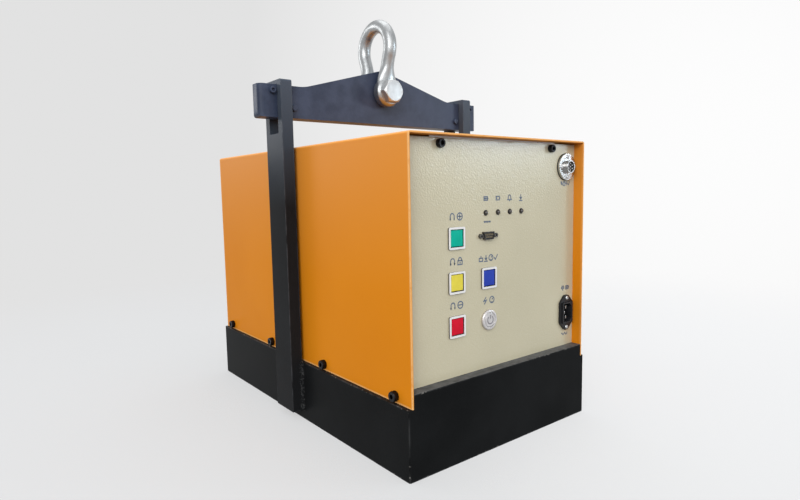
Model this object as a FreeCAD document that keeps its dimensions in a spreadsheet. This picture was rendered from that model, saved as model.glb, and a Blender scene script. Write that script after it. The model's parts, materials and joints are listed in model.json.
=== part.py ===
import FreeCAD, Part
import math
import operator
import os

import Sketcher

# Electro-permanent lifting magnet: a magnet block under a sheet cover with a battery controller,
# two slotted side arms, a lifting beam that floats in the slots and a bow shackle on the beam.
# Millimetres, +Z up, origin at the bottom centre of the pole face. The control panel faces -Y.

doc = FreeCAD.newDocument("LiftingMagnet")
sheet = doc.addObject("Spreadsheet::Sheet", "Sizes")

SIZES = [
    # Magnet block
    ("cover_width", 300, "outside width of the sheet cover"),
    ("cover_depth", 510, "front to back, cover and magnet block alike"),
    ("base_ledge", 5, "step of the magnet block outside each side of the cover"),
    ("base_height", 80, "pole face to the ledge that carries the cover"),
    ("rebate_height", 16, "raised deck inside the cover"),
    ("base_wall", 24, "wall round the pole cavity"),
    ("cavity_height", 62, "depth of the pole cavity"),
    ("base_edge", 1.5, "chamfer on the upright corners of the magnet block"),
    ("pole_gap", 16, "between the two pole shoes"),
    ("pole_side_gap", 13, "pole shoe to the cavity's side wall"),
    ("pole_end_gap", 16, "pole shoe to the cavity's end wall"),
    ("pole_height", 22, "pole shoe thickness"),
    ("core_side_gap", 1.3, "winding inside the side of its pole shoe"),
    ("core_gap", 11.6, "between the windings of neighbouring cores"),
    ("core_fit", 0.2, "bobbin round core, all sides"),
    ("bobbin_wall", 1.5, "bobbin tube and flange"),
    ("winding_build", 10, "thickness of the copper on the bobbin"),
    ("block_gap", 14, "between neodymium blocks of a row"),
    ("resin_depth", 4, "resin flush with the pole face"),
    ("pole_screw", 12, "pole screw shank diameter"),
    ("pole_screw_head", 18, "pole screw head diameter"),
    ("pole_screw_head_height", 12, "pole screw head height"),
    ("pole_screw_key", 10, "pole screw key across flats"),
    ("pole_screw_bite", 12, "thread length in the pole shoe"),
    ("hole_fit", 0.1, "clearance round screws, barrels and connector bodies"),
    # Side arms
    ("arm_thickness", 16, "flat bar of the side arms"),
    ("arm_width", 47, "flat bar of the side arms, front to back"),
    ("arm_cap", 6, "arm above the beam's tongue"),
    ("arm_corner", 3, "upper corners of the arms"),
    ("arm_foot", 12, "foot of the arms above the pole face"),
    ("slot_fit", 0.5, "slot beside the tongue, each side"),
    ("slot_end_fit", 0.3, "slot beyond the tongue's travel, above and below"),
    ("slot_corner", 1, "corner radius of the slot"),
    ("weld_leg", 5, "fillet weld between arm and block"),
    # Lifting beam
    ("beam_thickness", 24, "beam plate"),
    ("beam_rise", 38, "cover top to the underside of the raised beam"),
    ("beam_proud", 25, "tongue beyond the outer face of the arm"),
    ("beam_end_height", 42, "height of the tongues"),
    ("valley_gap", 25, "from the arm's inner face to the foot of the slope"),
    ("beam_boss", 32, "radius of the boss round the shackle bolt"),
    ("beam_corner", 6, "lower corners of the tongues"),
    ("beam_end_round", 8, "upright edges of the tongues"),
    ("valley_round", 60, "blend where the slope meets the tongue"),
    ("beam_travel", 20, "drop of the beam when the magnet has landed"),
    ("pin_rise", 45, "shackle bolt above the underside of the beam"),
    ("stop_screw", 5, "tongue stop screw thread"),
    ("stop_screw_head", 8.5, "tongue stop screw head diameter"),
    ("stop_screw_head_height", 5, "tongue stop screw head height"),
    ("stop_screw_key", 4, "tongue stop screw key across flats"),
    ("stop_screw_length", 12, "tongue stop screw shank"),
    ("stop_screw_gap", 2.5, "from the outer face of the arm to the head"),
    ("stop_screw_rise", 34, "above the underside of the beam"),
    ("keeper_pin", 8, "keeper pin diameter"),
    ("keeper_proud", 4, "keeper pin beyond each face of the beam"),
    ("keeper_gap", 4, "from the inner face of the arm to the pin"),
    ("keeper_rise", 13, "above the underside of the beam"),
    # Bow shackle
    ("pin_diameter", 20, "shackle bolt shank"),
    ("pin_fit", 0.1, "running fit of the bolt in beam and eyes, radial"),
    ("shackle_gap", 30, "between the eyes"),
    ("shackle_stock", 19, "diameter of the bow"),
    ("bow_width", 46, "inside width of the bow"),
    ("bow_reach", 78.5, "inside length, bolt to crown"),
    ("neck_rise", 17, "bolt axis to where the legs begin to turn out"),
    ("eye_diameter", 41, "outside of the eyes"),
    ("eye_thickness", 16, "eyes, along the bolt"),
    ("eye_bevel", 2.5, "edges of the eyes"),
    ("bolt_flats", 30, "bolt head across flats"),
    ("bolt_head", 11, "bolt head height"),
    ("nut_flats", 30, "nut across flats"),
    ("nut_height", 15, "nut height"),
    ("hexagon_bevel", 0.8, "turned corners of bolt head and nut, measured on the flats"),
    ("bolt_tail", 10, "bolt beyond the nut"),
    ("cotter_wire", 4, "cotter pin diameter"),
    ("cotter_length", 36, "cotter pin, top to bottom"),
    ("cotter_eye", 4, "mean radius of the cotter's ring"),
    # Cover and panels
    ("cover_height", 290, "cover, ledge to top"),
    ("cover_sheet", 2, "sheet thickness of the cover"),
    ("cover_bend", 3.5, "outside radius of the cover's folds"),
    ("cover_fit", 0.1, "cover and panels beside their neighbours"),
    ("cover_screw", 6, "cover screw thread"),
    ("cover_screw_head", 12, "cover screw head diameter"),
    ("cover_screw_head_height", 6.5, "cover screw head height"),
    ("cover_screw_key", 5, "cover screw key across flats"),
    ("cover_screw_length", 12, "cover screw shank in the block"),
    ("cover_screw_end", 28.5, "end of the cover to its nearest screws"),
    ("panel_recess", 14, "front edge of the cover to the panel face"),
    ("panel_sheet", 2, "sheet thickness of the panels"),
    ("panel_flange", 20, "foot flange of the panels"),
    ("angle_leg", 22, "legs of the angle that holds a panel's top"),
    ("angle_overhang", 12, "angle beyond its screws"),
    ("panel_screw", 6, "panel screw thread"),
    ("panel_screw_head", 10, "panel screw head diameter"),
    ("panel_screw_head_height", 6, "panel screw head height"),
    ("panel_screw_key", 5, "panel screw key across flats"),
    ("panel_screw_length", 9, "panel screw shank"),
    ("panel_screw_side", 52, "inside of the cover to a panel's screws"),
    ("panel_screw_drop", 10, "panel screws below the cover's top"),
    # Push buttons
    ("button_column", -71.5, "left column of buttons"),
    ("button_column_pitch", 52.5, "left column to right column"),
    ("button_rise", 109, "deck to the middle row of buttons"),
    ("button_row_pitch", 50.5, "between rows of buttons"),
    ("bezel_size", 25, "square bezel"),
    ("bezel_depth", 2, "bezel in front of the panel"),
    ("bezel_corner", 2, "corner radius of the bezel"),
    ("neck_size", 22.6, "square neck through the panel"),
    ("neck_length", 16, "neck behind the panel face"),
    ("neck_floor", 4, "floor of the neck"),
    ("collar_size", 27, "collar behind the panel"),
    ("collar_depth", 4, "collar behind the panel"),
    ("cap_size", 18.6, "square cap"),
    ("cap_gap", 0.8, "gap round a cap in its bezel"),
    ("cap_fit", 0.3, "stem and disc in their guides, all sides"),
    ("cap_sunk", 0.5, "cap behind the front of the bezel"),
    ("cap_thickness", 6, "cap, front to back"),
    ("cap_travel", 2.5, "press of a cap"),
    ("cap_edge", 0.6, "front edge of the cap"),
    ("stem_diameter", 8, "stem behind a cap"),
    ("switch_size", 18, "square contact block"),
    ("switch_length", 20, "contact block, front to back"),
    ("power_flange", 25, "round flange of the power button"),
    ("power_flange_depth", 3, "flange in front of the panel"),
    ("power_flange_round", 2, "front edge of the flange"),
    ("power_barrel", 22, "barrel of the power button"),
    ("power_barrel_length", 24, "barrel behind the panel face"),
    ("power_disc", 17, "pressed disc of the power button"),
    ("power_disc_thickness", 4, "pressed disc, front to back"),
    ("power_travel", 2, "press of the power button"),
    ("power_nut_flats", 27, "nut of the power button"),
    ("power_nut_height", 3, "nut of the power button"),
    # Status lights
    ("light_rise", 26.8, "status lights above the upper row of buttons"),
    ("light_first", -23.8, "first status light"),
    ("light_pitch", 21.1, "between status lights"),
    ("light_flange", 6.8, "holder flange diameter"),
    ("light_flange_depth", 0.8, "holder flange thickness"),
    ("light_barrel", 6, "holder barrel diameter"),
    ("light_barrel_length", 9, "holder barrel behind the panel face"),
    ("light_lens", 5, "lens diameter"),
    # Serial port
    ("serial_shift", 2, "serial port left of the button column"),
    ("serial_flange_width", 31, "flange across"),
    ("serial_flange_height", 12.5, "flange up"),
    ("serial_flange_depth", 1, "flange thickness"),
    ("serial_collar_width", 17.6, "D collar, long side"),
    ("serial_collar_height", 9, "D collar, up"),
    ("serial_collar_depth", 6, "D collar in front of the flange"),
    ("serial_collar_slant", 1.6, "D collar, each side shorter below"),
    ("serial_wall", 0.7, "sheet of the D collar"),
    ("serial_body_width", 19, "body behind the panel"),
    ("serial_body_height", 10.5, "body behind the panel"),
    ("serial_body_depth", 12, "body behind the flange"),
    ("serial_spread", 25, "between the jackscrews"),
    ("jackscrew_flats", 5, "jackscrew across flats"),
    ("jackscrew_height", 3.5, "jackscrew in front of the panel"),
    ("jackscrew_shank", 3, "jackscrew outside thread"),
    ("jackscrew_bore", 2.5, "jackscrew inside thread"),
    ("jackscrew_length", 9, "jackscrew shank"),
    # Remote control socket
    ("remote_inset", 19.5, "inside of the cover to the remote socket"),
    ("remote_drop", 33, "remote socket below the cover's top"),
    ("remote_flange", 34.5, "flange diameter"),
    ("remote_flange_depth", 3, "flange thickness"),
    ("remote_gasket_lip", 0.5, "gasket beyond the flange"),
    ("remote_gasket_depth", 1, "gasket thickness"),
    ("remote_barrel", 16.5, "barrel diameter"),
    ("remote_barrel_depth", 5.5, "barrel in front of the flange"),
    ("remote_bore", 13.5, "bore of the barrel"),
    ("remote_bore_depth", 3.5, "barrel's mouth to the insert"),
    ("remote_sleeve", 15.5, "sleeve behind the flange"),
    ("remote_sleeve_depth", 18, "sleeve behind the flange"),
    ("remote_pin", 1.6, "contact pin diameter"),
    ("remote_pin_length", 2.8, "contact pin in front of the insert"),
    ("remote_pin_circle", 4.3, "radius of the pin circle"),
    ("remote_screw", 3, "flange screw thread"),
    ("remote_screw_head", 4.6, "flange screw head diameter"),
    ("remote_screw_head_height", 1.6, "flange screw head height"),
    ("remote_screw_key", 2, "flange screw key across flats"),
    ("remote_screw_length", 8, "flange screw shank"),
    ("remote_screw_circle", 13, "radius of the flange screws"),
    # Charging inlet
    ("inlet_inset", 17, "inside of the cover to the charging inlet"),
    ("inlet_rise", 45.5, "deck to the charging inlet"),
    ("inlet_width", 27, "flange across"),
    ("inlet_straight", 28, "straight side of the flange"),
    ("inlet_spread", 40, "between the two screws"),
    ("inlet_end", 3.75, "flange beyond the screws"),
    ("inlet_corner", 3, "corner radius of the flange"),
    ("inlet_flange_depth", 3, "flange thickness"),
    ("inlet_rim_width", 21, "raised rim across"),
    ("inlet_rim_height", 28.5, "raised rim up"),
    ("inlet_rim_depth", 2.5, "raised rim in front of the flange"),
    ("inlet_mouth_width", 16.5, "plug mouth across"),
    ("inlet_mouth_height", 24.5, "plug mouth up"),
    ("inlet_mouth_cut", 4.5, "cut corners of the plug mouth"),
    ("inlet_mouth_depth", 18, "plug mouth, front to floor"),
    ("inlet_body_depth", 16, "body behind the panel face"),
    ("inlet_blade", 4, "contact blade, wide side"),
    ("inlet_blade_sheet", 2, "contact blade, thin side"),
    ("inlet_blade_length", 14.5, "contact blade in the mouth"),
    ("inlet_blade_spread", 14, "between the outer blades"),
    ("inlet_blade_offset", 3, "middle blade off the line of the others"),
    ("inlet_screw", 3, "inlet screw thread"),
    ("inlet_screw_head", 5.6, "inlet screw head diameter"),
    ("inlet_screw_head_height", 1.8, "inlet screw head height"),
    ("inlet_screw_key", 2, "inlet screw key across flats"),
    ("inlet_screw_length", 8, "inlet screw shank"),
    # Battery and controller
    ("battery_width", 181, "battery pack across"),
    ("battery_depth", 76, "battery pack, front to back"),
    ("battery_height", 167, "battery pack up"),
    ("battery_gap", 2, "between the two packs"),
    ("battery_terminal", 12, "terminal block on a pack"),
    ("battery_clear", 6, "strap foot to the flange of the rear panel"),
    ("tray_sheet", 2, "sheet of the battery tray"),
    ("tray_lip", 25, "lips of the battery tray"),
    ("tray_overhang", 8, "tray beside the packs"),
    ("strap_width", 30, "battery strap"),
    ("strap_sheet", 1.5, "battery strap thickness"),
    ("strap_foot", 14, "feet of the strap on the deck"),
    ("bay_setback", 91, "panel face to the bay of the electronics"),
    ("board_sheet", 1.6, "controller board thickness"),
    ("board_side", 10, "inside of the cover to the controller board"),
    ("board_inset", 15, "controller board inside the ends of the bay"),
    ("standoff_diameter", 6, "standoffs of the controller board"),
    ("standoff_height", 12, "standoffs of the controller board"),
    ("standoff_inset", 8, "standoff from the board's edges"),
    ("module_width", 34, "power module across"),
    ("module_height", 30, "power module up"),
    ("module_inset", 40, "power modules inside the ends of the bay"),
    ("module_gap", 10, "between board, power modules and charger"),
    ("charger_width", 38, "charger across"),
    ("charger_height", 70, "charger up"),
    ("charger_side", 6, "inside of the cover to the charger"),
    ("charger_inset", 10, "charger inside the ends of the bay"),
]
for row, (alias, number, note) in enumerate(SIZES, start=1):
    sheet.set(f"A{row}", alias)
    sheet.set(f"B{row}", str(number))
    sheet.setAlias(f"B{row}", alias)
    sheet.set(f"C{row}", note)
doc.recompute()


class Size:
    # A length that keeps the sheet formula it came from, so that sizes combine by ordinary arithmetic.
    def __init__(self, text, number):
        self.text = text
        self.number = number

    def joined(self, sign, work, first, second):
        first, second = as_size(first), as_size(second)
        return Size(f"({first.text} {sign} {second.text})", work(first.number, second.number))

    def __add__(self, other):
        return self.joined("+", operator.add, self, other)

    def __sub__(self, other):
        return self.joined("-", operator.sub, self, other)

    def __rsub__(self, other):
        return self.joined("-", operator.sub, other, self)

    def __mul__(self, other):
        return self.joined("*", operator.mul, self, other)

    def __truediv__(self, other):
        return self.joined("/", operator.truediv, self, other)

    def __neg__(self):
        return self.joined("-", operator.sub, 0, self)


def as_size(value):
    return value if isinstance(value, Size) else Size(str(value), float(value))


def root(value):
    return Size(f"sqrt({value.text})", math.sqrt(value.number))


class Values:
    pass


s = Values()
for alias, number, note in SIZES:
    setattr(s, alias, Size(f"Sizes.{alias}", float(sheet.get(alias))))

# Levels and planes that several pieces share
deck = s.base_height + s.rebate_height
cover_top = s.base_height + s.cover_height
roof = cover_top - s.cover_sheet
cover_inside = s.cover_width / 2 - s.cover_sheet
base_half = s.cover_width / 2 + s.base_ledge
depth_half = s.cover_depth / 2
panel_face = s.panel_recess - depth_half
panel_back = panel_face + s.panel_sheet
panel_heel = panel_face + s.panel_flange
arm_inner = base_half
arm_outer = arm_inner + s.arm_thickness
beam_half = s.beam_thickness / 2
beam_bottom = cover_top + s.beam_rise
beam_end_top = beam_bottom + s.beam_end_height
pin_level = beam_bottom + s.pin_rise
eye_inner = s.shackle_gap / 2
eye_outer = eye_inner + s.eye_thickness

X, Y, Z = FreeCAD.Vector(1, 0, 0), FreeCAD.Vector(0, 1, 0), FreeCAD.Vector(0, 0, 1)
AXES = {"x": X, "y": Y, "z": Z}
TURNS = {
    "x": FreeCAD.Rotation(Y, 90),
    "-x": FreeCAD.Rotation(Y, -90),
    "y": FreeCAD.Rotation(X, -90),
    "-y": FreeCAD.Rotation(X, 90),
    "z": FreeCAD.Rotation(),
}
SIDES = (-1, 1)
TOUCH = 1e-4
finished = []


# Objects bound to the sheet
def bind(thing, name, value):
    thing.setExpression(name, as_size(value).text)


def place(thing, where, turn="z"):
    thing.Placement = FreeCAD.Placement(FreeCAD.Vector(), TURNS[turn])
    for axis, value in zip("xyz", where):
        bind(thing, f"Placement.Base.{axis}", value)
    return thing


def finish(thing, label):
    thing.Label = label
    finished.append(thing)
    return thing


def block(name, size, corner):
    box = doc.addObject("Part::Box", name)
    for side, value in zip(("Length", "Width", "Height"), size):
        bind(box, side, value)
    return place(box, corner)


def centred_block(name, size, middle):
    corner = [as_size(where) - side / 2 for where, side in zip(middle, size)]
    return block(name, size, corner)


def rod(name, diameter, length, start, axis="z"):
    cylinder = doc.addObject("Part::Cylinder", name)
    bind(cylinder, "Radius", diameter / 2)
    bind(cylinder, "Height", length)
    return place(cylinder, start, axis)


def hexagon(name, flats, height, start, axis="z"):
    prism = doc.addObject("Part::Prism", name)
    prism.Polygon = 6
    bind(prism, "Circumradius", flats / root(as_size(3)))
    bind(prism, "Height", height)
    return place(prism, start, axis)


def fuse(name, pieces):
    joined = doc.addObject("Part::MultiFuse", name)
    joined.Shapes = pieces
    joined.Refine = True
    doc.recompute()
    return joined


def cut(name, base, tools):
    tool = tools[0] if len(tools) == 1 else fuse(f"{name}_tools", tools)
    result = doc.addObject("Part::Cut", name)
    result.Base = base
    result.Tool = tool
    result.Refine = True
    doc.recompute()
    if result.Shape.Volume > base.Shape.Volume - TOUCH:
        raise ValueError(f"{name}: the cut removes nothing")
    return result


def common(name, base, tool):
    result = doc.addObject("Part::Common", name)
    result.Base = base
    result.Tool = tool
    result.Refine = True
    doc.recompute()
    return result


def group(label, pieces):
    gathered = doc.addObject("Part::Compound", label)
    gathered.Links = pieces
    return finish(gathered, label)


def copies(label, master, places):
    links = []
    for where, turn in places:
        link = doc.addObject("App::Link", f"{label}_copy")
        link.LinkedObject = master
        links.append(place(link, where, turn))
    return group(label, links)


# Sketches and features of a body
def new_body(name):
    return doc.addObject("PartDesign::Body", name)


def new_sketch(body, plane, offset=0):
    sketch = body.newObject("Sketcher::SketchObject", f"{body.Name}_sketch")
    support = next(item for item in body.Origin.OriginFeatures if item.Role == plane)
    sketch.AttachmentSupport = [(support, "")]
    sketch.MapMode = "FlatFace"
    bind(sketch, "AttachmentOffset.Base.z", offset)
    return sketch


def flat(point):
    across, up = (as_size(value).number for value in point)
    return FreeCAD.Vector(across, up, 0)


def fix(sketch, name, value, *constraint):
    value = as_size(value)
    index = sketch.addConstraint(Sketcher.Constraint(*constraint, value.number))
    sketch.renameConstraint(index, name)
    sketch.setExpression(f"Constraints.{name}", value.text)


def fix_point(sketch, geometry, vertex, point):
    for kind, value in zip(("DistanceX", "DistanceY"), point):
        fix(sketch, f"{kind}{geometry}_{vertex}", value, kind, -1, 1, geometry, vertex)


def polygon(sketch, points):
    first = sketch.GeometryCount
    for point, following in zip(points, points[1:] + points[:1]):
        sketch.addGeometry(Part.LineSegment(flat(point), flat(following)))
    for index, point in enumerate(points):
        line = first + index
        after = first + (index + 1) % len(points)
        sketch.addConstraint(Sketcher.Constraint("Coincident", line, 2, after, 1))
        fix_point(sketch, line, 1, point)
    return sketch


def rectangle(sketch, half_width, half_height, middle=(0, 0)):
    across, up = (as_size(value) for value in middle)
    left, right = across - half_width, across + half_width
    low, high = up - half_height, up + half_height
    return polygon(sketch, [(left, low), (right, low), (right, high), (left, high)])


def circle(sketch, centre, diameter):
    index = sketch.addGeometry(Part.Circle(flat(centre), Z, diameter.number / 2))
    fix_point(sketch, index, 3, centre)
    fix(sketch, f"Diameter{index}", diameter, "Diameter", index)
    return sketch


def arc(centre, radius, start, stop):
    return Part.ArcOfCircle(Part.Circle(flat(centre), Z, radius.number), start, stop)


def pad(body, sketch, length, middle=False, backwards=False):
    feature = body.newObject("PartDesign::Pad", f"{body.Name}_pad")
    feature.Profile = sketch
    feature.Midplane = middle
    feature.Reversed = backwards
    bind(feature, "Length", length)
    doc.recompute()
    return feature


def pocket(body, sketch, depth=None, backwards=False):
    before = body.Shape.Volume
    feature = body.newObject("PartDesign::Pocket", f"{body.Name}_pocket")
    feature.Profile = sketch
    feature.Reversed = backwards
    if depth is None:
        feature.Type = "ThroughAll"
        feature.Midplane = True
    else:
        bind(feature, "Length", depth)
    doc.recompute()
    if body.Shape.Volume > before - TOUCH:
        raise ValueError(f"{body.Name}: a pocket removes nothing")
    return feature


def edges_where(shape, test):
    return [f"Edge{index}" for index, edge in enumerate(shape.Edges, start=1) if test(edge)]


def straight_edges(shape, axis, **places):
    wanted = {name: abs(as_size(value).number) for name, value in places.items()}

    def matches(edge):
        if not isinstance(edge.Curve, Part.Line):
            return False
        if abs(edge.Curve.Direction.dot(AXES[axis])) < 1 - TOUCH:
            return False
        middle = edge.CenterOfMass
        return all(abs(abs(getattr(middle, name)) - value) < TOUCH for name, value in wanted.items())

    return edges_where(shape, matches)


def soften(body, kind, size_name, value, names):
    base = body.Tip
    feature = body.newObject(f"PartDesign::{kind}", f"{body.Name}_{kind.lower()}")
    feature.Base = (base, names)
    bind(feature, size_name, value)
    doc.recompute()
    return feature


def round_edges(body, radius, axis, **places):
    return soften(body, "Fillet", "Radius", radius, straight_edges(body.Shape, axis, **places))


def bevel_edges(body, size, axis, **places):
    return soften(body, "Chamfer", "Size", size, straight_edges(body.Shape, axis, **places))


def socket_screw(name, shank, head, head_height, length, key):
    # Head above the origin plane along +Z, shank below it
    cylinder = rod(f"{name}_head", head, head_height, (0, 0, 0))
    stem = rod(f"{name}_shank", shank, length, (0, 0, -length))
    hollow = hexagon(f"{name}_key", key, head_height / 2, (0, 0, head_height / 2))
    return cut(name, fuse(f"{name}_blank", [cylinder, stem]), [hollow])


def clear(diameter):
    return diameter + s.hole_fit * 2


# Magnet block
CORES_PER_POLE = 3
BLOCKS_PER_ROW = 5
COVER_SCREWS_PER_SIDE = 4


def spread(pitch, count):
    return [pitch * (step - (count - 1) / 2) for step in range(count)]


rebate_half = cover_inside - s.cover_fit
cavity_half_width = base_half - s.base_wall
cavity_half_depth = depth_half - s.base_wall
pole_width = cavity_half_width - s.pole_side_gap - s.pole_gap / 2
pole_length = (cavity_half_depth - s.pole_end_gap) * 2
pole_offset = (pole_width + s.pole_gap) / 2
core_height = s.cavity_height - s.pole_height
core_pitch = pole_length / CORES_PER_POLE
winding_outside = (pole_width - s.core_side_gap * 2, core_pitch - s.core_gap)
bobbin_outside = [side - s.winding_build * 2 for side in winding_outside]
bobbin_inside = [side - s.bobbin_wall * 2 for side in bobbin_outside]
core_size = [side - s.core_fit * 2 for side in bobbin_inside]
core_rows = spread(core_pitch, CORES_PER_POLE)
core_places = [(pole_offset * side, row) for side in SIDES for row in core_rows]
cover_screw_pitch = (s.cover_depth - s.cover_screw_end * 2) / (COVER_SCREWS_PER_SIDE - 1)
cover_screw_rows = spread(cover_screw_pitch, COVER_SCREWS_PER_SIDE)
cover_screw_level = s.base_height + s.rebate_height / 2


def magnet_housing():
    body = new_body("magnet_housing")
    pad(body, rectangle(new_sketch(body, "XY_Plane"), base_half, depth_half), s.base_height)
    bevel_edges(body, s.base_edge, "z", x=base_half, y=depth_half)
    raised = new_sketch(body, "XY_Plane", s.base_height)
    pad(body, rectangle(raised, rebate_half, depth_half), s.rebate_height)
    cavity = rectangle(new_sketch(body, "XY_Plane"), cavity_half_width, cavity_half_depth)
    pocket(body, cavity, s.cavity_height, backwards=True)
    drilled = new_sketch(body, "XY_Plane", deck)
    sunk = new_sketch(body, "XY_Plane", deck)
    for centre in core_places:
        circle(drilled, centre, clear(s.pole_screw))
        circle(sunk, centre, clear(s.pole_screw_head))
    pocket(body, drilled, deck - s.cavity_height)
    pocket(body, sunk, s.pole_screw_head_height)
    for side in SIDES:
        threads = new_sketch(body, "YZ_Plane", rebate_half * side)
        for row in cover_screw_rows:
            circle(threads, (row, cover_screw_level), clear(s.cover_screw))
        pocket(body, threads, s.cover_screw_length + s.hole_fit, backwards=side < 0)
    finish(body, "magnet_housing")


def pole_shoes():
    shoe = centred_block("pole_shoe", (pole_width, pole_length, s.pole_height), (0, 0, s.pole_height / 2))
    depth = s.pole_screw_bite + s.hole_fit
    floor = s.pole_height - depth
    threads = [rod("pole_thread", clear(s.pole_screw), depth, (0, row, floor)) for row in core_rows]
    drilled = cut("pole_shoe_drilled", shoe, threads)
    copies("pole_shoes", drilled, [((pole_offset * side, 0, 0), "z") for side in SIDES])


def cores_and_coils():
    stood = [((x, y, s.pole_height), "z") for x, y in core_places]
    middle = (0, 0, core_height / 2)
    core = centred_block("core", (*core_size, core_height), middle)
    bore = rod("core_bore", clear(s.pole_screw), core_height, (0, 0, 0))
    copies("alnico_cores", cut("core_drilled", core, [bore]), stood)
    spool = [centred_block("bobbin_tube", (*bobbin_outside, core_height), middle)]
    for level in (s.bobbin_wall / 2, core_height - s.bobbin_wall / 2):
        spool.append(centred_block("bobbin_flange", (*winding_outside, s.bobbin_wall), (0, 0, level)))
    hole = centred_block("bobbin_hole", (*bobbin_inside, core_height), middle)
    copies("coil_bobbins", cut("bobbin", fuse("spool", spool), [hole]), stood)
    length = core_height - s.bobbin_wall * 2
    copper = centred_block("copper", (*winding_outside, length), middle)
    hole = centred_block("copper_hole", (*bobbin_outside, length), middle)
    copies("coil_windings", cut("winding", copper, [hole]), stood)


def pole_filling():
    columns = [(0, s.pole_gap)]
    for side in SIDES:
        columns.append(((cavity_half_width - s.pole_side_gap / 2) * side, s.pole_side_gap))
    height = s.pole_height - s.resin_depth
    level = s.resin_depth + height / 2
    pitch = pole_length / BLOCKS_PER_ROW
    magnets = []
    for middle, width in columns:
        for row in spread(pitch, BLOCKS_PER_ROW):
            size = (width, pitch - s.block_gap, height)
            magnets.append(centred_block("magnet", size, (middle, row, level)))
    group("neodymium_blocks", magnets)
    slab_size = (cavity_half_width * 2, cavity_half_depth * 2, s.resin_depth)
    slab = centred_block("resin_slab", slab_size, (0, 0, s.resin_depth / 2))
    windows = []
    for side in SIDES:
        windows.append(centred_block("resin_window", (pole_width, pole_length, s.resin_depth),
                                     (pole_offset * side, 0, s.resin_depth / 2)))
    finish(cut("pole_resin", slab, windows), "pole_resin")


def pole_screws():
    seat = deck - s.pole_screw_head_height
    length = seat - s.pole_height + s.pole_screw_bite
    screw = socket_screw("pole_screw", s.pole_screw, s.pole_screw_head, s.pole_screw_head_height, length,
                         s.pole_screw_key)
    copies("pole_screws", screw, [((x, y, seat), "z") for x, y in core_places])


# Side arms
slot_half = beam_half + s.slot_fit
slot_bottom = beam_bottom - s.beam_travel - s.slot_end_fit
slot_top = beam_end_top + s.slot_end_fit
arm_top = beam_end_top + s.arm_cap


def side_arm(label, inner_face):
    body = new_body(label)
    arm_half = s.arm_width / 2
    length = arm_top - s.arm_foot
    middle = (0, s.arm_foot + length / 2)
    outline = rectangle(new_sketch(body, "YZ_Plane", inner_face), arm_half, length / 2, middle)
    pad(body, outline, s.arm_thickness)
    round_edges(body, s.arm_corner, "x", y=arm_half, z=arm_top)
    height = slot_top - slot_bottom
    middle = (0, slot_bottom + height / 2)
    slot = rectangle(new_sketch(body, "YZ_Plane", inner_face), slot_half, height / 2, middle)
    pocket(body, slot)
    corners = straight_edges(body.Shape, "x", y=slot_half, z=slot_bottom)
    corners += straight_edges(body.Shape, "x", y=slot_half, z=slot_top)
    soften(body, "Fillet", "Radius", s.slot_corner, corners)
    finish(body, label)


def arm_welds():
    # Quarter-round beads in the corners between each arm and the block
    quarters = {(1, 1): 0, (-1, 1): 90, (-1, -1): 180, (1, -1): 270}
    beads = []
    for (side, end), turn in quarters.items():
        corner = (arm_inner * side, s.arm_width / 2 * end, s.arm_foot)
        bead = rod("weld_bead", s.weld_leg * 2, s.base_height - s.arm_foot, corner)
        bead.Angle = 90
        bead.Placement.Rotation = FreeCAD.Rotation(Z, turn)
        beads.append(bead)
    group("arm_welds", beads)


# Lifting beam
beam_end = arm_outer + s.beam_proud
valley = arm_inner - s.valley_gap
stop_screw_column = arm_outer + s.stop_screw_gap + s.stop_screw_head / 2
stop_screw_level = beam_bottom + s.stop_screw_rise
keeper_column = arm_inner - s.keeper_gap - s.keeper_pin / 2
keeper_level = beam_bottom + s.keeper_rise


def slope_touch():
    # Where the straight slope from the valley runs onto the boss round the bolt
    rise = pin_level - beam_end_top
    reach = valley * valley + rise * rise
    along = s.beam_boss * s.beam_boss / reach
    beside = s.beam_boss * root(reach - s.beam_boss * s.beam_boss) / reach
    return valley * along + rise * beside, pin_level - rise * along + valley * beside


def beam_outline(sketch):
    touch_x, touch_z = slope_touch()
    points = [
        (-touch_x, touch_z), (-valley, beam_end_top), (-beam_end, beam_end_top), (-beam_end, beam_bottom),
        (beam_end, beam_bottom), (beam_end, beam_end_top), (valley, beam_end_top), (touch_x, touch_z)]
    for point, following in zip(points, points[1:]):
        sketch.addGeometry(Part.LineSegment(flat(point), flat(following)))
    last = len(points) - 2
    rise_angle = math.atan2(touch_z.number - pin_level.number, touch_x.number)
    crown = sketch.addGeometry(arc((0, pin_level), s.beam_boss, rise_angle, math.pi - rise_angle))
    for line in range(1, last + 1):
        sketch.addConstraint(Sketcher.Constraint("Coincident", line - 1, 2, line, 1))
        fix_point(sketch, line, 1, points[line])
    sketch.addConstraint(Sketcher.Constraint("Tangent", last, 2, crown, 1))
    sketch.addConstraint(Sketcher.Constraint("Tangent", crown, 2, 0, 1))
    fix_point(sketch, crown, 3, (0, pin_level))
    fix(sketch, "BossRadius", s.beam_boss, "Radius", crown)
    return sketch


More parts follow.
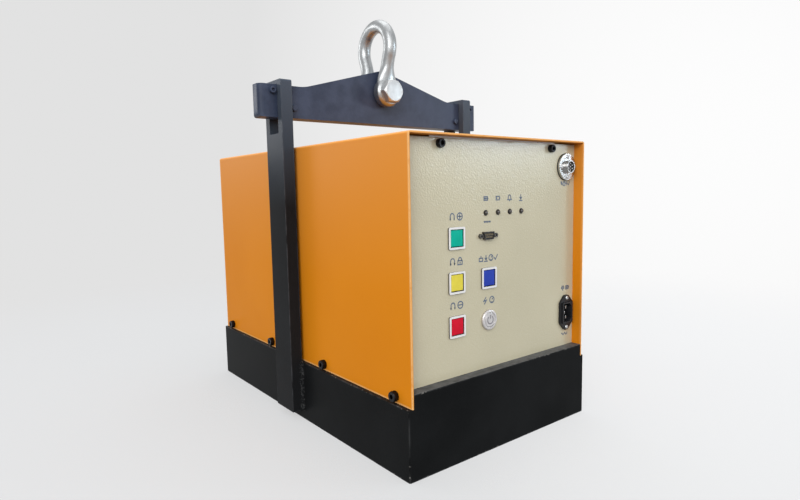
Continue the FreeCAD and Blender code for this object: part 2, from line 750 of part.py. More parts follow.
def lifting_beam():
    side = new_body("beam_side")
    pad(side, beam_outline(new_sketch(side, "XZ_Plane")), s.beam_thickness, middle=True)
    round_edges(side, s.beam_corner, "y", x=beam_end, z=beam_bottom)
    round_edges(side, s.valley_round, "y", x=valley, z=beam_end_top)
    plan = new_body("beam_plan")
    outline = rectangle(new_sketch(plan, "XY_Plane", beam_bottom), beam_end, beam_half)
    pad(plan, outline, s.pin_rise + s.beam_boss)
    round_edges(plan, s.beam_end_round, "z", x=beam_end, y=beam_half)
    bolt_start = (0, -beam_half, pin_level)
    holes = [rod("bolt_bore", s.pin_diameter + s.pin_fit * 2, s.beam_thickness, bolt_start, "y")]
    for end in SIDES:
        holes.append(rod("stop_thread", clear(s.stop_screw), s.stop_screw_length + s.hole_fit,
                         (stop_screw_column * end, -beam_half, stop_screw_level), "y"))
        holes.append(rod("keeper_bore", clear(s.keeper_pin), s.beam_thickness,
                         (keeper_column * end, -beam_half, keeper_level), "y"))
    finish(cut("lifting_beam", common("beam_blank", side, plan), holes), "lifting_beam")


def beam_fasteners():
    screw = socket_screw("stop_screw", s.stop_screw, s.stop_screw_head, s.stop_screw_head_height,
                         s.stop_screw_length, s.stop_screw_key)
    copies("beam_stop_screws", screw,
           [((stop_screw_column * end, -beam_half, stop_screw_level), "-y") for end in SIDES])
    pin = rod("keeper", s.keeper_pin, s.beam_thickness + s.keeper_proud * 2, (0, 0, 0))
    copies("beam_keeper_pins", pin,
           [((keeper_column * end, -beam_half - s.keeper_proud, keeper_level), "y") for end in SIDES])


# Bow shackle
leg_line = eye_inner + s.eye_thickness / 2
bow_radius = (s.bow_width + s.shackle_stock) / 2
bow_centre = pin_level + s.pin_diameter / 2 + s.bow_reach - s.bow_width / 2
neck_level = pin_level + s.neck_rise
neck_drop = bow_centre - neck_level
neck_excess = leg_line * leg_line + neck_drop * neck_drop - bow_radius * bow_radius
neck_radius = neck_excess / (bow_radius - leg_line) / 2
neck_centre = leg_line + neck_radius


def bow_path(body):
    # Two upright legs that turn out through a neck into the round bow, one chain of tangent pieces
    sketch = new_sketch(body, "YZ_Plane")
    lean = math.atan2(neck_drop.number, neck_centre.number)
    pieces = [
        Part.LineSegment(flat((leg_line, pin_level)), flat((leg_line, neck_level))),
        arc((neck_centre, neck_level), neck_radius, math.pi - lean, math.pi),
        arc((0, bow_centre), bow_radius, -lean, math.pi + lean),
        arc((-neck_centre, neck_level), neck_radius, 0, lean),
        Part.LineSegment(flat((-leg_line, neck_level)), flat((-leg_line, pin_level))),
    ]
    leg, neck, bow, far_neck, far_leg = (sketch.addGeometry(piece) for piece in pieces)
    fix_point(sketch, leg, 1, (leg_line, pin_level))
    fix_point(sketch, leg, 2, (leg_line, neck_level))
    fix_point(sketch, far_leg, 1, (-leg_line, neck_level))
    fix_point(sketch, far_leg, 2, (-leg_line, pin_level))
    fix_point(sketch, bow, 3, (0, bow_centre))
    fix(sketch, "BowRadius", bow_radius, "Radius", bow)
    for first, first_end, second, second_end in (
            (leg, 2, neck, 2), (neck, 1, bow, 1), (bow, 2, far_neck, 2), (far_neck, 1, far_leg, 1)):
        sketch.addConstraint(Sketcher.Constraint("Tangent", first, first_end, second, second_end))
    return sketch


def shackle_eye(body, side):
    # Disc with bevelled rims, turned about the bolt
    sketch = new_sketch(body, "YZ_Plane")
    bind(sketch, "AttachmentOffset.Base.y", pin_level)
    radius, bevel = s.eye_diameter / 2, s.eye_bevel
    polygon(sketch, [
        (eye_inner * side, 0), (eye_outer * side, 0), (eye_outer * side, radius - bevel),
        ((eye_outer - bevel) * side, radius), ((eye_inner + bevel) * side, radius),
        (eye_inner * side, radius - bevel)])
    turned = body.newObject("PartDesign::Revolution", "eye_turned")
    turned.Profile = sketch
    turned.ReferenceAxis = (sketch, ["H_Axis"])
    turned.Angle = 360
    doc.recompute()


def shackle_bow():
    body = new_body("shackle_bow")
    path = bow_path(body)
    profile = circle(new_sketch(body, "XY_Plane", pin_level), (0, leg_line), s.shackle_stock)
    pipe = body.newObject("PartDesign::AdditivePipe", "bow_pipe")
    pipe.Profile = profile
    pipe.Spine = (path, [f"Edge{index + 1}" for index in range(path.GeometryCount)])
    doc.recompute()
    # Flats that the forging has where the legs run down into the eyes
    eye_radius = s.eye_diameter / 2
    reach = eye_radius - s.eye_bevel
    middle = (0, pin_level + reach / 2)
    between = rectangle(new_sketch(body, "XZ_Plane", -eye_inner), eye_radius, reach / 2, middle)
    pocket(body, between, s.shackle_gap, backwards=True)
    for side in SIDES:
        outside = rectangle(new_sketch(body, "XZ_Plane", eye_outer * side), eye_radius, reach / 2, middle)
        pocket(body, outside, s.shackle_stock, backwards=side > 0)
    for side in SIDES:
        shackle_eye(body, side)
    bore = circle(new_sketch(body, "XZ_Plane"), (0, pin_level), s.pin_diameter + s.pin_fit * 2)
    pocket(body, bore)
    finish(body, "shackle_bow")


def bevelled_hexagon(name, flats, height, start, axis):
    # Hexagon whose outer corners are turned to a shallow cone
    prism = hexagon(f"{name}_prism", flats, height, start, axis)
    turned = doc.addObject("Part::Cone", f"{name}_turned")
    bind(turned, "Radius1", flats / 2 + height)
    bind(turned, "Radius2", flats / 2 - s.hexagon_bevel)
    bind(turned, "Height", height)
    place(turned, start, axis)
    return common(name, prism, turned)


def shackle_fasteners():
    head = bevelled_hexagon("bolt_head", s.bolt_flats, s.bolt_head, (0, -eye_outer, pin_level), "-y")
    length = eye_outer * 2 + s.nut_height + s.bolt_tail
    shank = rod("bolt_shank", s.pin_diameter, length, (0, -eye_outer, pin_level), "y")
    cotter_row = eye_outer + s.nut_height + s.bolt_tail / 2
    below = (0, cotter_row, pin_level - s.pin_diameter / 2)
    hole = rod("cotter_bore", clear(s.cotter_wire), s.pin_diameter, below)
    finish(cut("shackle_bolt", fuse("bolt_blank", [head, shank]), [hole]), "shackle_bolt")
    nut = bevelled_hexagon("nut_blank", s.nut_flats, s.nut_height, (0, eye_outer, pin_level), "y")
    thread = rod("nut_thread", clear(s.pin_diameter), s.nut_height, (0, eye_outer, pin_level), "y")
    finish(cut("shackle_nut", nut, [thread]), "shackle_nut")
    wire = rod("cotter_leg", s.cotter_wire, s.cotter_length, (0, cotter_row, pin_level - s.cotter_length / 2))
    ring = doc.addObject("Part::Torus", "cotter_ring")
    bind(ring, "Radius1", s.cotter_eye)
    bind(ring, "Radius2", s.cotter_wire / 2)
    ring_level = pin_level + s.cotter_length / 2 + s.cotter_eye + s.cotter_wire / 4
    place(ring, (0, cotter_row, ring_level), "x")
    finish(fuse("shackle_cotter", [wire, ring]), "shackle_cotter")


# Cover, panels and their fasteners
def cover_shell():
    body = new_body("cover_shell")
    half = s.cover_width / 2
    profile = polygon(new_sketch(body, "XZ_Plane"), [
        (-half, s.base_height), (-cover_inside, s.base_height), (-cover_inside, roof), (cover_inside, roof),
        (cover_inside, s.base_height), (half, s.base_height), (half, cover_top), (-half, cover_top)])
    pad(body, profile, s.cover_depth, middle=True)
    round_edges(body, s.cover_bend, "y", x=half, z=cover_top)
    round_edges(body, s.cover_bend - s.cover_sheet, "y", x=cover_inside, z=roof)
    holes = new_sketch(body, "YZ_Plane")
    for row in cover_screw_rows:
        circle(holes, (row, cover_screw_level), clear(s.cover_screw))
    pocket(body, holes)
    finish(body, "cover_shell")


def cover_screws():
    length = s.cover_screw_length + s.cover_sheet + s.cover_fit
    screw = socket_screw("cover_screw", s.cover_screw, s.cover_screw_head, s.cover_screw_head_height, length,
                         s.cover_screw_key)
    places = []
    for side, turn in ((-1, "-x"), (1, "x")):
        places += [((s.cover_width / 2 * side, row, cover_screw_level), turn) for row in cover_screw_rows]
    copies("cover_screws", screw, places)


panel_half = cover_inside - s.cover_fit
panel_top = roof - s.cover_fit - (s.cover_bend - s.cover_sheet)
panel_screw_level = cover_top - s.panel_screw_drop
panel_screw_reach = cover_inside - s.panel_screw_side
panel_screw_columns = [panel_screw_reach * side for side in SIDES]
button_right = s.button_column + s.button_column_pitch
button_row = deck + s.button_rise
button_high = button_row + s.button_row_pitch
button_low = button_row - s.button_row_pitch
buttons = {
    "green_button": (s.button_column, button_high),
    "yellow_button": (s.button_column, button_row),
    "red_button": (s.button_column, button_low),
    "blue_button": (button_right, button_row),
}
power_place = (button_right, button_low)
serial_place = (button_right - s.serial_shift, button_high)
LIGHTS = 4
light_places = [(s.light_first + s.light_pitch * step, button_high + s.light_rise) for step in range(LIGHTS)]
remote_place = (cover_inside - s.remote_inset, cover_top - s.remote_drop)
inlet_place = (cover_inside - s.inlet_inset, deck + s.inlet_rise)
QUARTERS = ((0, 1), (1, 0), (0, -1), (-1, 0))


def around(place_on_panel, radius):
    x, z = place_on_panel
    return [(x + radius * across, z + radius * up) for across, up in QUARTERS]


def panel_blank(label, side):
    # Upright sheet with a foot flange folded inwards. Side is 1 for the front and -1 for the back.
    body = new_body(label)
    face, back, heel = panel_face * side, panel_back * side, panel_heel * side
    profile = polygon(new_sketch(body, "YZ_Plane"), [
        (face, deck), (heel, deck), (heel, deck + s.panel_sheet), (back, deck + s.panel_sheet),
        (back, panel_top), (face, panel_top)])
    pad(body, profile, panel_half * 2, middle=True)
    holes = new_sketch(body, "XZ_Plane", -face)
    for x in panel_screw_columns:
        circle(holes, (x, panel_screw_level), clear(s.panel_screw))
    pocket(body, holes, s.panel_sheet, backwards=side < 0)
    return finish(body, label)


def front_panel():
    body = panel_blank("front_panel", 1)
    holes = new_sketch(body, "XZ_Plane", -panel_face)
    for centre in buttons.values():
        rectangle(holes, clear(s.neck_size) / 2, clear(s.neck_size) / 2, centre)
    circle(holes, power_place, clear(s.power_barrel))
    for centre in light_places:
        circle(holes, centre, clear(s.light_barrel))
    circle(holes, remote_place, clear(s.remote_sleeve))
    for centre in around(remote_place, s.remote_screw_circle):
        circle(holes, centre, clear(s.remote_screw))
    x, z = serial_place
    polygon(holes, [(x + across, z + up) for across, up in d_outline(-s.hole_fit)])
    rectangle(holes, clear(s.inlet_rim_width) / 2, clear(s.inlet_rim_height) / 2, inlet_place)
    for side in SIDES:
        circle(holes, (x + s.serial_spread / 2 * side, z), clear(s.jackscrew_shank))
        circle(holes, (inlet_place[0], inlet_place[1] + s.inlet_spread / 2 * side), clear(s.inlet_screw))
    pocket(body, holes, s.panel_sheet)


def panel_angle(name, side):
    body = new_body(name)
    near, far = panel_back * side, (panel_back + s.angle_leg) * side
    inner = (panel_back + s.panel_sheet) * side
    profile = polygon(new_sketch(body, "YZ_Plane"), [
        (near, roof - s.angle_leg), (inner, roof - s.angle_leg), (inner, roof - s.panel_sheet),
        (far, roof - s.panel_sheet), (far, roof), (near, roof)])
    pad(body, profile, (panel_screw_reach + s.angle_overhang) * 2, middle=True)
    holes = new_sketch(body, "XZ_Plane", -near)
    for x in panel_screw_columns:
        circle(holes, (x, panel_screw_level), clear(s.panel_screw))
    pocket(body, holes, s.panel_sheet, backwards=side < 0)
    return body


def panel_fasteners():
    group("panel_angles", [panel_angle("front_angle", 1), panel_angle("rear_angle", -1)])
    screw = socket_screw("panel_screw", s.panel_screw, s.panel_screw_head, s.panel_screw_head_height,
                         s.panel_screw_length, s.panel_screw_key)
    places = []
    for x in panel_screw_columns:
        places.append(((x, panel_face, panel_screw_level), "-y"))
        places.append(((x, -panel_face, panel_screw_level), "y"))
    copies("panel_screws", screw, places)


# Push buttons, drawn with the panel face at y = 0 and the user at -Y
cap_back = s.cap_thickness + s.cap_sunk - s.bezel_depth


def on_panel(body, label, spot):
    place(body, (spot[0], panel_face, spot[1]))
    return finish(body, label)


def on_panel_copies(label, master, spots, level):
    return copies(label, master, [((x, level, z), "z") for x, z in spots])


def button_housings():
    body = new_body("button_housing")
    half, neck, recess = s.bezel_size / 2, s.neck_size / 2, s.cap_size / 2 + s.cap_gap
    pad(body, rectangle(new_sketch(body, "XZ_Plane"), half, half), s.bezel_depth)
    round_edges(body, s.bezel_corner, "y", x=half, z=half)
    pad(body, rectangle(new_sketch(body, "XZ_Plane"), neck, neck), s.neck_length, backwards=True)
    mouth = rectangle(new_sketch(body, "XZ_Plane", s.bezel_depth), recess, recess)
    pocket(body, mouth, s.bezel_depth + s.neck_length - s.neck_floor)
    pocket(body, circle(new_sketch(body, "XZ_Plane"), (0, 0), s.stem_diameter + s.cap_fit * 2))
    on_panel_copies("button_housings", body, buttons.values(), panel_face)
    middle = (0, s.collar_depth / 2, 0)
    inside = clear(s.neck_size)
    frame = centred_block("collar_blank", (s.collar_size, s.collar_depth, s.collar_size), middle)
    hole = centred_block("collar_hole", (inside, s.collar_depth, inside), middle)
    on_panel_copies("button_collars", cut("collar", frame, [hole]), buttons.values(), panel_back)


def button_cap(label, spot):
    body = new_body(label)
    half = s.cap_size / 2
    face = s.bezel_depth - s.cap_sunk
    pad(body, rectangle(new_sketch(body, "XZ_Plane", face), half, half), s.cap_thickness, backwards=True)
    edges = straight_edges(body.Shape, "x", y=face) + straight_edges(body.Shape, "z", y=face)
    soften(body, "Chamfer", "Size", s.cap_edge, edges)
    stem = circle(new_sketch(body, "XZ_Plane", -cap_back), (0, 0), s.stem_diameter)
    pad(body, stem, s.neck_length - cap_back, backwards=True)
    on_panel(body, label, spot)


def power_switch():
    flange_face = s.power_flange_depth
    disc_back = s.power_disc_thickness - flange_face
    recess_floor = disc_back + s.power_travel + s.cap_fit
    housing = new_body("power_housing")
    pad(housing, circle(new_sketch(housing, "XZ_Plane"), (0, 0), s.power_flange), flange_face)
    rim = edges_where(housing.Shape, lambda edge: abs(edge.CenterOfMass.y + flange_face.number) < TOUCH)
    soften(housing, "Fillet", "Radius", s.power_flange_round, rim)
    barrel = circle(new_sketch(housing, "XZ_Plane"), (0, 0), s.power_barrel)
    pad(housing, barrel, s.power_barrel_length, backwards=True)
    mouth = circle(new_sketch(housing, "XZ_Plane", flange_face), (0, 0), s.power_disc + s.cap_fit * 2)
    pocket(housing, mouth, flange_face + recess_floor)
    pocket(housing, circle(new_sketch(housing, "XZ_Plane"), (0, 0), s.stem_diameter + s.cap_fit * 2))
    on_panel(housing, "power_housing", power_place)
    disc = new_body("power_button")
    face = circle(new_sketch(disc, "XZ_Plane", flange_face), (0, 0), s.power_disc)
    pad(disc, face, s.power_disc_thickness, backwards=True)
    stem = circle(new_sketch(disc, "XZ_Plane", -disc_back), (0, 0), s.stem_diameter)
    pad(disc, stem, s.power_barrel_length - disc_back, backwards=True)
    on_panel(disc, "power_button", power_place)
    start = (power_place[0], panel_back, power_place[1])
    nut = hexagon("power_nut_blank", s.power_nut_flats, s.power_nut_height, start, "y")
    thread = rod("power_nut_thread", clear(s.power_barrel), s.power_nut_height, start, "y")
    doc.recompute()
    finish(cut("power_nut", nut, [thread]), "power_nut")


def switch_blocks():
    # Contact blocks behind the buttons, each with a well that the stem presses into
    middle = s.switch_length / 2
    blank = centred_block("contact_blank", (s.switch_size, s.switch_length, s.switch_size), (0, middle, 0))
    well = rod("contact_well", s.stem_diameter + s.cap_fit * 2, s.cap_travel + s.cap_fit, (0, 0, 0), "y")
    doc.recompute()
    contact = cut("contact_block", blank, [well])
    places = [((x, panel_face + s.neck_length, z), "z") for x, z in buttons.values()]
    places.append(((power_place[0], panel_face + s.power_barrel_length, power_place[1]), "z"))
    copies("switch_blocks", contact, places)


# Status lights
def status_lights():
    length = s.light_flange_depth + s.light_barrel_length
    nose = (0, -s.light_flange_depth, 0)
    flange = rod("light_flange", s.light_flange, s.light_flange_depth, nose, "y")
    barrel = rod("light_barrel", s.light_barrel, s.light_barrel_length, (0, 0, 0), "y")
    bore = rod("light_bore", clear(s.light_lens), length, nose, "y")
    holder = cut("light_holder", fuse("light_blank", [flange, barrel]), [bore])
    on_panel_copies("led_holders", holder, light_places, panel_face)
    stem = rod("lens_stem", s.light_lens, length, nose, "y")
    dome = doc.addObject("Part::Sphere", "lens_dome")
    bind(dome, "Radius", s.light_lens / 2)
    place(dome, nose)
    on_panel_copies("led_lenses", fuse("lens", [stem, dome]), light_places, panel_face)


# Serial port
def d_outline(inset):
    half = s.serial_collar_width / 2 - inset
    tall = s.serial_collar_height / 2 - inset
    short = half - s.serial_collar_slant
    return [(-half, tall), (-short, -tall), (short, -tall), (half, tall)]


def serial_port():
    # Flange behind the panel, collar through it
    seat = -s.panel_sheet
    heel = seat - s.serial_flange_depth
    shell = new_body("serial_shell")
    plate = new_sketch(shell, "XZ_Plane", seat)
    rectangle(plate, s.serial_flange_width / 2, s.serial_flange_height / 2)
    pad(shell, plate, s.serial_flange_depth, backwards=True)
    pad(shell, polygon(new_sketch(shell, "XZ_Plane", seat), d_outline(0)), s.serial_collar_depth)
    pocket(shell, polygon(new_sketch(shell, "XZ_Plane"), d_outline(s.serial_wall)))
    holes = new_sketch(shell, "XZ_Plane")
    for side in SIDES:
        circle(holes, (s.serial_spread / 2 * side, 0), clear(s.jackscrew_shank))
    pocket(shell, holes)
    on_panel(shell, "serial_shell", serial_place)
    insert = new_body("serial_insert")
    face = polygon(new_sketch(insert, "XZ_Plane", heel), d_outline(s.serial_wall + s.hole_fit))
    pad(insert, face, s.serial_flange_depth + s.serial_collar_depth - s.serial_wall)
    rear = new_sketch(insert, "XZ_Plane", heel)
    rectangle(rear, s.serial_body_width / 2, s.serial_body_height / 2)
    pad(insert, rear, s.serial_body_depth, backwards=True)
    on_panel(insert, "serial_insert", serial_place)
    head = hexagon("jackscrew_head", s.jackscrew_flats, s.jackscrew_height, (0, 0, 0))
    shank = rod("jackscrew_stem", s.jackscrew_shank, s.jackscrew_length, (0, 0, -s.jackscrew_length))
    thread = rod("jackscrew_thread", s.jackscrew_bore, s.jackscrew_height, (0, 0, 0))
    jackscrew = cut("jackscrew", fuse("jackscrew_blank", [head, shank]), [thread])
    x, z = serial_place
    columns = [x + s.serial_spread / 2 * side for side in SIDES]
    copies("serial_jackscrews", jackscrew, [((column, panel_face, z), "-y") for column in columns])


# Remote control socket
REMOTE_RING = 6
remote_nose = s.remote_gasket_depth + s.remote_flange_depth + s.remote_barrel_depth
remote_floor = remote_nose - s.remote_bore_depth


def remote_socket():
    gasket = new_body("remote_gasket")
    disc = circle(new_sketch(gasket, "XZ_Plane"), (0, 0), s.remote_flange + s.remote_gasket_lip * 2)
    circle(disc, (0, 0), clear(s.remote_sleeve))
    for centre in around((as_size(0), as_size(0)), s.remote_screw_circle):
        circle(disc, centre, clear(s.remote_screw))
    pad(gasket, disc, s.remote_gasket_depth)
    on_panel(gasket, "remote_gasket", remote_place)

    shell = new_body("remote_shell")
    seat = s.remote_gasket_depth
    pad(shell, circle(new_sketch(shell, "XZ_Plane", seat), (0, 0), s.remote_flange), s.remote_flange_depth)
    pad(shell, circle(new_sketch(shell, "XZ_Plane", seat), (0, 0), s.remote_barrel), remote_nose - seat)
    sleeve = circle(new_sketch(shell, "XZ_Plane", seat), (0, 0), s.remote_sleeve)
    pad(shell, sleeve, s.remote_sleeve_depth, backwards=True)
    pocket(shell, circle(new_sketch(shell, "XZ_Plane"), (0, 0), s.remote_bore))
    holes = new_sketch(shell, "XZ_Plane")
    for centre in around((as_size(0), as_size(0)), s.remote_screw_circle):
        circle(holes, centre, clear(s.remote_screw))
    pocket(shell, holes)
    on_panel(shell, "remote_shell", remote_place)

    insert = new_body("remote_insert")
    plug = circle(new_sketch(insert, "XZ_Plane", remote_floor), (0, 0), s.remote_bore - s.hole_fit * 2)
    pad(insert, plug, remote_floor + s.remote_sleeve_depth - seat, backwards=True)
    on_panel(insert, "remote_insert", remote_place)
    face = panel_face - remote_floor
    contact = rod("remote_contact", s.remote_pin, s.remote_pin_length, (0, 0, 0))
    x, z = remote_place
    contacts = [((x, face, z), "-y")]
    for step in range(REMOTE_RING):
        angle = 2 * math.pi * step / REMOTE_RING
        across, up = s.remote_pin_circle * math.sin(angle), s.remote_pin_circle * math.cos(angle)
        contacts.append(((x + across, face, z + up), "-y"))
    copies("remote_pins", contact, contacts)
    screw = socket_screw("remote_screw", s.remote_screw, s.remote_screw_head, s.remote_screw_head_height,
                         s.remote_screw_length, s.remote_screw_key)
    outer = panel_face - seat - s.remote_flange_depth
    spots = around(remote_place, s.remote_screw_circle)
    copies("remote_screws", screw, [((across, outer, up), "-y") for across, up in spots])


# Charging inlet
inlet_nose = s.inlet_flange_depth + s.inlet_rim_depth


def inlet_body():
    body = new_body("inlet_body")
    half, straight = s.inlet_width / 2, s.inlet_straight / 2
    end, tip = s.inlet_end, s.inlet_spread / 2 + s.inlet_end
    flange = polygon(new_sketch(body, "XZ_Plane"), [
        (-half, -straight), (-end, -tip), (end, -tip), (half, -straight),
        (half, straight), (end, tip), (-end, tip), (-half, straight)])
    pad(body, flange, s.inlet_flange_depth)
    corners = straight_edges(body.Shape, "y", x=half, z=straight)
    corners += straight_edges(body.Shape, "y", x=end, z=tip)
    soften(body, "Fillet", "Radius", s.inlet_corner, corners)
    rim_half, rim_tall = s.inlet_rim_width / 2, s.inlet_rim_height / 2
    pad(body, rectangle(new_sketch(body, "XZ_Plane"), rim_half, rim_tall), inlet_nose)
    pad(body, rectangle(new_sketch(body, "XZ_Plane"), rim_half, rim_tall), s.inlet_body_depth, backwards=True)
    wide, tall, corner = s.inlet_mouth_width / 2, s.inlet_mouth_height / 2, s.inlet_mouth_cut
    mouth = polygon(new_sketch(body, "XZ_Plane", inlet_nose), [
        (-wide, -tall), (wide - corner, -tall), (wide, corner - tall), (wide, tall - corner),
        (wide - corner, tall), (-wide, tall)])
    pocket(body, mouth, s.inlet_mouth_depth)
    holes = new_sketch(body, "XZ_Plane")
    for side in SIDES:
        circle(holes, (0, s.inlet_spread / 2 * side), clear(s.inlet_screw))
    pocket(body, holes)
    on_panel(body, "inlet_body", inlet_place)


def inlet_contacts():
    x, z = inlet_place
    level = panel_face - inlet_nose + s.inlet_mouth_depth - s.inlet_blade_length / 2
    size = (s.inlet_blade_sheet, s.inlet_blade_length, s.inlet_blade)
    spots = [(x, z + s.inlet_blade_spread / 2 * side) for side in SIDES]
    spots.append((x - s.inlet_blade_offset, z))
    group("inlet_blades", [centred_block("blade", size, (across, level, up)) for across, up in spots])
    screw = socket_screw("inlet_screw", s.inlet_screw, s.inlet_screw_head, s.inlet_screw_head_height,
                         s.inlet_screw_length, s.inlet_screw_key)
    seat = panel_face - s.inlet_flange_depth
    copies("inlet_screws", screw, [((x, seat, z + s.inlet_spread / 2 * side), "-y") for side in SIDES])


# Battery and controller on the deck
strap_back = -panel_heel - s.battery_clear
tray_back = strap_back - s.strap_foot - s.cover_fit
tray_front = tray_back - (s.battery_depth + s.tray_sheet + s.cover_fit) * 2 - s.battery_gap
tray_floor = deck + s.tray_sheet


def battery():
    tray = new_body("battery_tray")
    inner_front, inner_back = tray_front + s.tray_sheet, tray_back - s.tray_sheet
    lip = deck + s.tray_lip
    profile = polygon(new_sketch(tray, "YZ_Plane"), [
        (tray_front, deck), (tray_back, deck), (tray_back, lip), (inner_back, lip),
        (inner_back, tray_floor), (inner_front, tray_floor), (inner_front, lip), (tray_front, lip)])
    pad(tray, profile, s.battery_width + s.tray_overhang * 2, middle=True)
    finish(tray, "battery_tray")
    case_size = (s.battery_width, s.battery_depth, s.battery_height)
    case = block("pack_case", case_size, (-(s.battery_width / 2), 0, 0))
    post = s.battery_terminal
    pieces = [case]
    for side in SIDES:
        middle = ((s.battery_width / 2 - post) * side, s.battery_depth - post, s.battery_height + post / 2)
        pieces.append(centred_block("terminal", (post, post, post), middle))
    start = inner_front + s.cover_fit
    rows = (start, start + s.battery_depth + s.battery_gap)
    copies("battery_packs", fuse("pack", pieces), [((0, row, tray_floor), "z") for row in rows])


def battery_strap():
    strap = new_body("battery_strap")
    near, far = tray_front - s.cover_fit, tray_back + s.cover_fit
    top, foot = tray_floor + s.battery_height, deck + s.strap_sheet
    outer_near, outer_far = near - s.strap_sheet, far + s.strap_sheet
    toe_near, toe_far = near - s.strap_foot, far + s.strap_foot
    profile = polygon(new_sketch(strap, "YZ_Plane"), [
        (toe_near, deck), (near, deck), (near, top), (far, top), (far, deck), (toe_far, deck),
        (toe_far, foot), (outer_far, foot), (outer_far, top + s.strap_sheet),
        (outer_near, top + s.strap_sheet), (outer_near, foot), (toe_near, foot)])
    pad(strap, profile, s.strap_width, middle=True)
    finish(strap, "battery_strap")


bay_front = panel_face + s.bay_setback
bay_back = tray_front - s.cover_fit - s.strap_foot - s.battery_clear


def in_bay(name, left, width, inset, level, height):
    size = (width, bay_back - bay_front - inset * 2, height)
    return block(name, size, (left, bay_front + inset, level))


def controller():
    charger_left = cover_inside - s.charger_side - s.charger_width
    charger = in_bay("charger_module", charger_left, s.charger_width, s.charger_inset, deck, s.charger_height)
    finish(charger, "charger_module")
    modules = []
    for step in (1, 2):
        left = charger_left - (s.module_width + s.module_gap) * step
        modules.append(in_bay("power_module", left, s.module_width, s.module_inset, deck, s.module_height))
    group("thyristor_modules", modules)
    left = s.board_side - cover_inside
    right = charger_left - (s.module_width + s.module_gap) * 2 - s.module_gap
    level = deck + s.standoff_height
    board = in_bay("controller_board", left, right - left, s.board_inset, level, s.board_sheet)
    finish(board, "controller_board")
    edge = s.board_inset + s.standoff_inset
    posts = []
    for x in (left + s.standoff_inset, right - s.standoff_inset):
        for y in (bay_front + edge, bay_back - edge):
            posts.append(rod("standoff", s.standoff_diameter, s.standoff_height, (x, y, deck)))
    group("board_standoffs", posts)


def check_document():
    doc.recompute()
    failed = [thing.Name for thing in doc.Objects if {"Invalid", "Error"} & set(thing.State)]
    for thing in finished:
        if thing.Shape.isNull() or not thing.Shape.isValid() or not thing.Shape.Solids:
            failed.append(thing.Label)
    if failed:
        raise ValueError("these objects failed: " + ", ".join(sorted(set(failed))))


def export():
    os.makedirs("parts", exist_ok=True)
    for thing in finished:
        thing.Shape.exportStep(os.path.join("parts", thing.Label + ".step"))
    print(len(finished), "parts written")


magnet_housing()
pole_shoes()
cores_and_coils()
pole_filling()
pole_screws()
side_arm("left_arm", -arm_outer)
side_arm("right_arm", arm_inner)
arm_welds()
lifting_beam()
beam_fasteners()
shackle_bow()
shackle_fasteners()
cover_shell()
cover_screws()
front_panel()
panel_blank("rear_panel", -1)
panel_fasteners()
button_housings()
for cap_label, cap_place in buttons.items():
    button_cap(cap_label, cap_place)
power_switch()
switch_blocks()
status_lights()
serial_port()
remote_socket()
inlet_body()
inlet_contacts()
battery()
battery_strap()
controller()
check_document()
export()
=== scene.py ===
import json
import math

import bmesh
import bpy
from mathutils import Matrix, Quaternion, Vector


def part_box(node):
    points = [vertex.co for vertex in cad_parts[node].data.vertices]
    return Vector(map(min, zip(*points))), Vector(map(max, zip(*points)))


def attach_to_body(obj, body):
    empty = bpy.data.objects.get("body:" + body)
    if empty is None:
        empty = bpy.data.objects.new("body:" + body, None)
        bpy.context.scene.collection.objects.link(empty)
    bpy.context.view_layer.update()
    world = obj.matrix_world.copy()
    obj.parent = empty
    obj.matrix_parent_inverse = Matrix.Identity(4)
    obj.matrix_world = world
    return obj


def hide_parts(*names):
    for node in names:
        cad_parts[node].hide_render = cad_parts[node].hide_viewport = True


# A battery-switched lifting magnet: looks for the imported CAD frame. Metres, +Z up, panel towards -Y.
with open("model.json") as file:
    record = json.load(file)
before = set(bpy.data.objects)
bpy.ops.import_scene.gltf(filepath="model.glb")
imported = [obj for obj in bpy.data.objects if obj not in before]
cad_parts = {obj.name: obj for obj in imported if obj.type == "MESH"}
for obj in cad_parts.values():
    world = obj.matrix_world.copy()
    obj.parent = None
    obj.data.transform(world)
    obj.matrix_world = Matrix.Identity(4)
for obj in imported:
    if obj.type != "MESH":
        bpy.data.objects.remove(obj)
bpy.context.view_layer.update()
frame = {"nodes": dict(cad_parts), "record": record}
scene = bpy.context.scene
scene.view_settings.view_transform = "Standard"
bodies = frame["record"]["behaviour"]["bodies"]
bodyOf = {node: body for body, members in bodies.items() for node in members}
mm = 0.001
full = math.tau
print("frame loaded:", len(bodyOf), "nodes")


# Node trees: a wire is one socket, and arithmetic on wires adds Math nodes
class Wire:
    def __init__(self, tree, socket=None):
        self.tree = tree
        self.socket = socket

    def node(self, kind, settings=None, sockets=None, output=0):
        made = self.tree.nodes.new(kind)
        for key, value in (settings or {}).items():
            setattr(made, key, value)
        for key, value in (sockets or {}).items():
            if isinstance(value, Wire):
                self.tree.links.new(value.socket, made.inputs[key])
            else:
                made.inputs[key].default_value = value
        return Wire(self.tree, made.outputs[output] if made.outputs else None)

    def other(self, output):  # another output of the same node
        return Wire(self.tree, self.socket.node.outputs[output])

    def math(self, operation, first, second=0.0):
        return self.node("ShaderNodeMath", {"operation": operation}, {0: first, 1: second})

    def __add__(self, other):
        return self.math("ADD", self, other)

    def __radd__(self, other):
        return self.math("ADD", other, self)

    def __sub__(self, other):
        return self.math("SUBTRACT", self, other)

    def __rsub__(self, other):
        return self.math("SUBTRACT", other, self)

    def __mul__(self, other):
        return self.math("MULTIPLY", self, other)

    def __rmul__(self, other):
        return self.math("MULTIPLY", other, self)

    def __truediv__(self, other):
        return self.math("DIVIDE", self, other)

    def __rtruediv__(self, other):
        return self.math("DIVIDE", other, self)

    def __abs__(self):
        return self.math("ABSOLUTE", self)

    def clamped(self):
        return self.node("ShaderNodeClamp", None, {"Value": self})


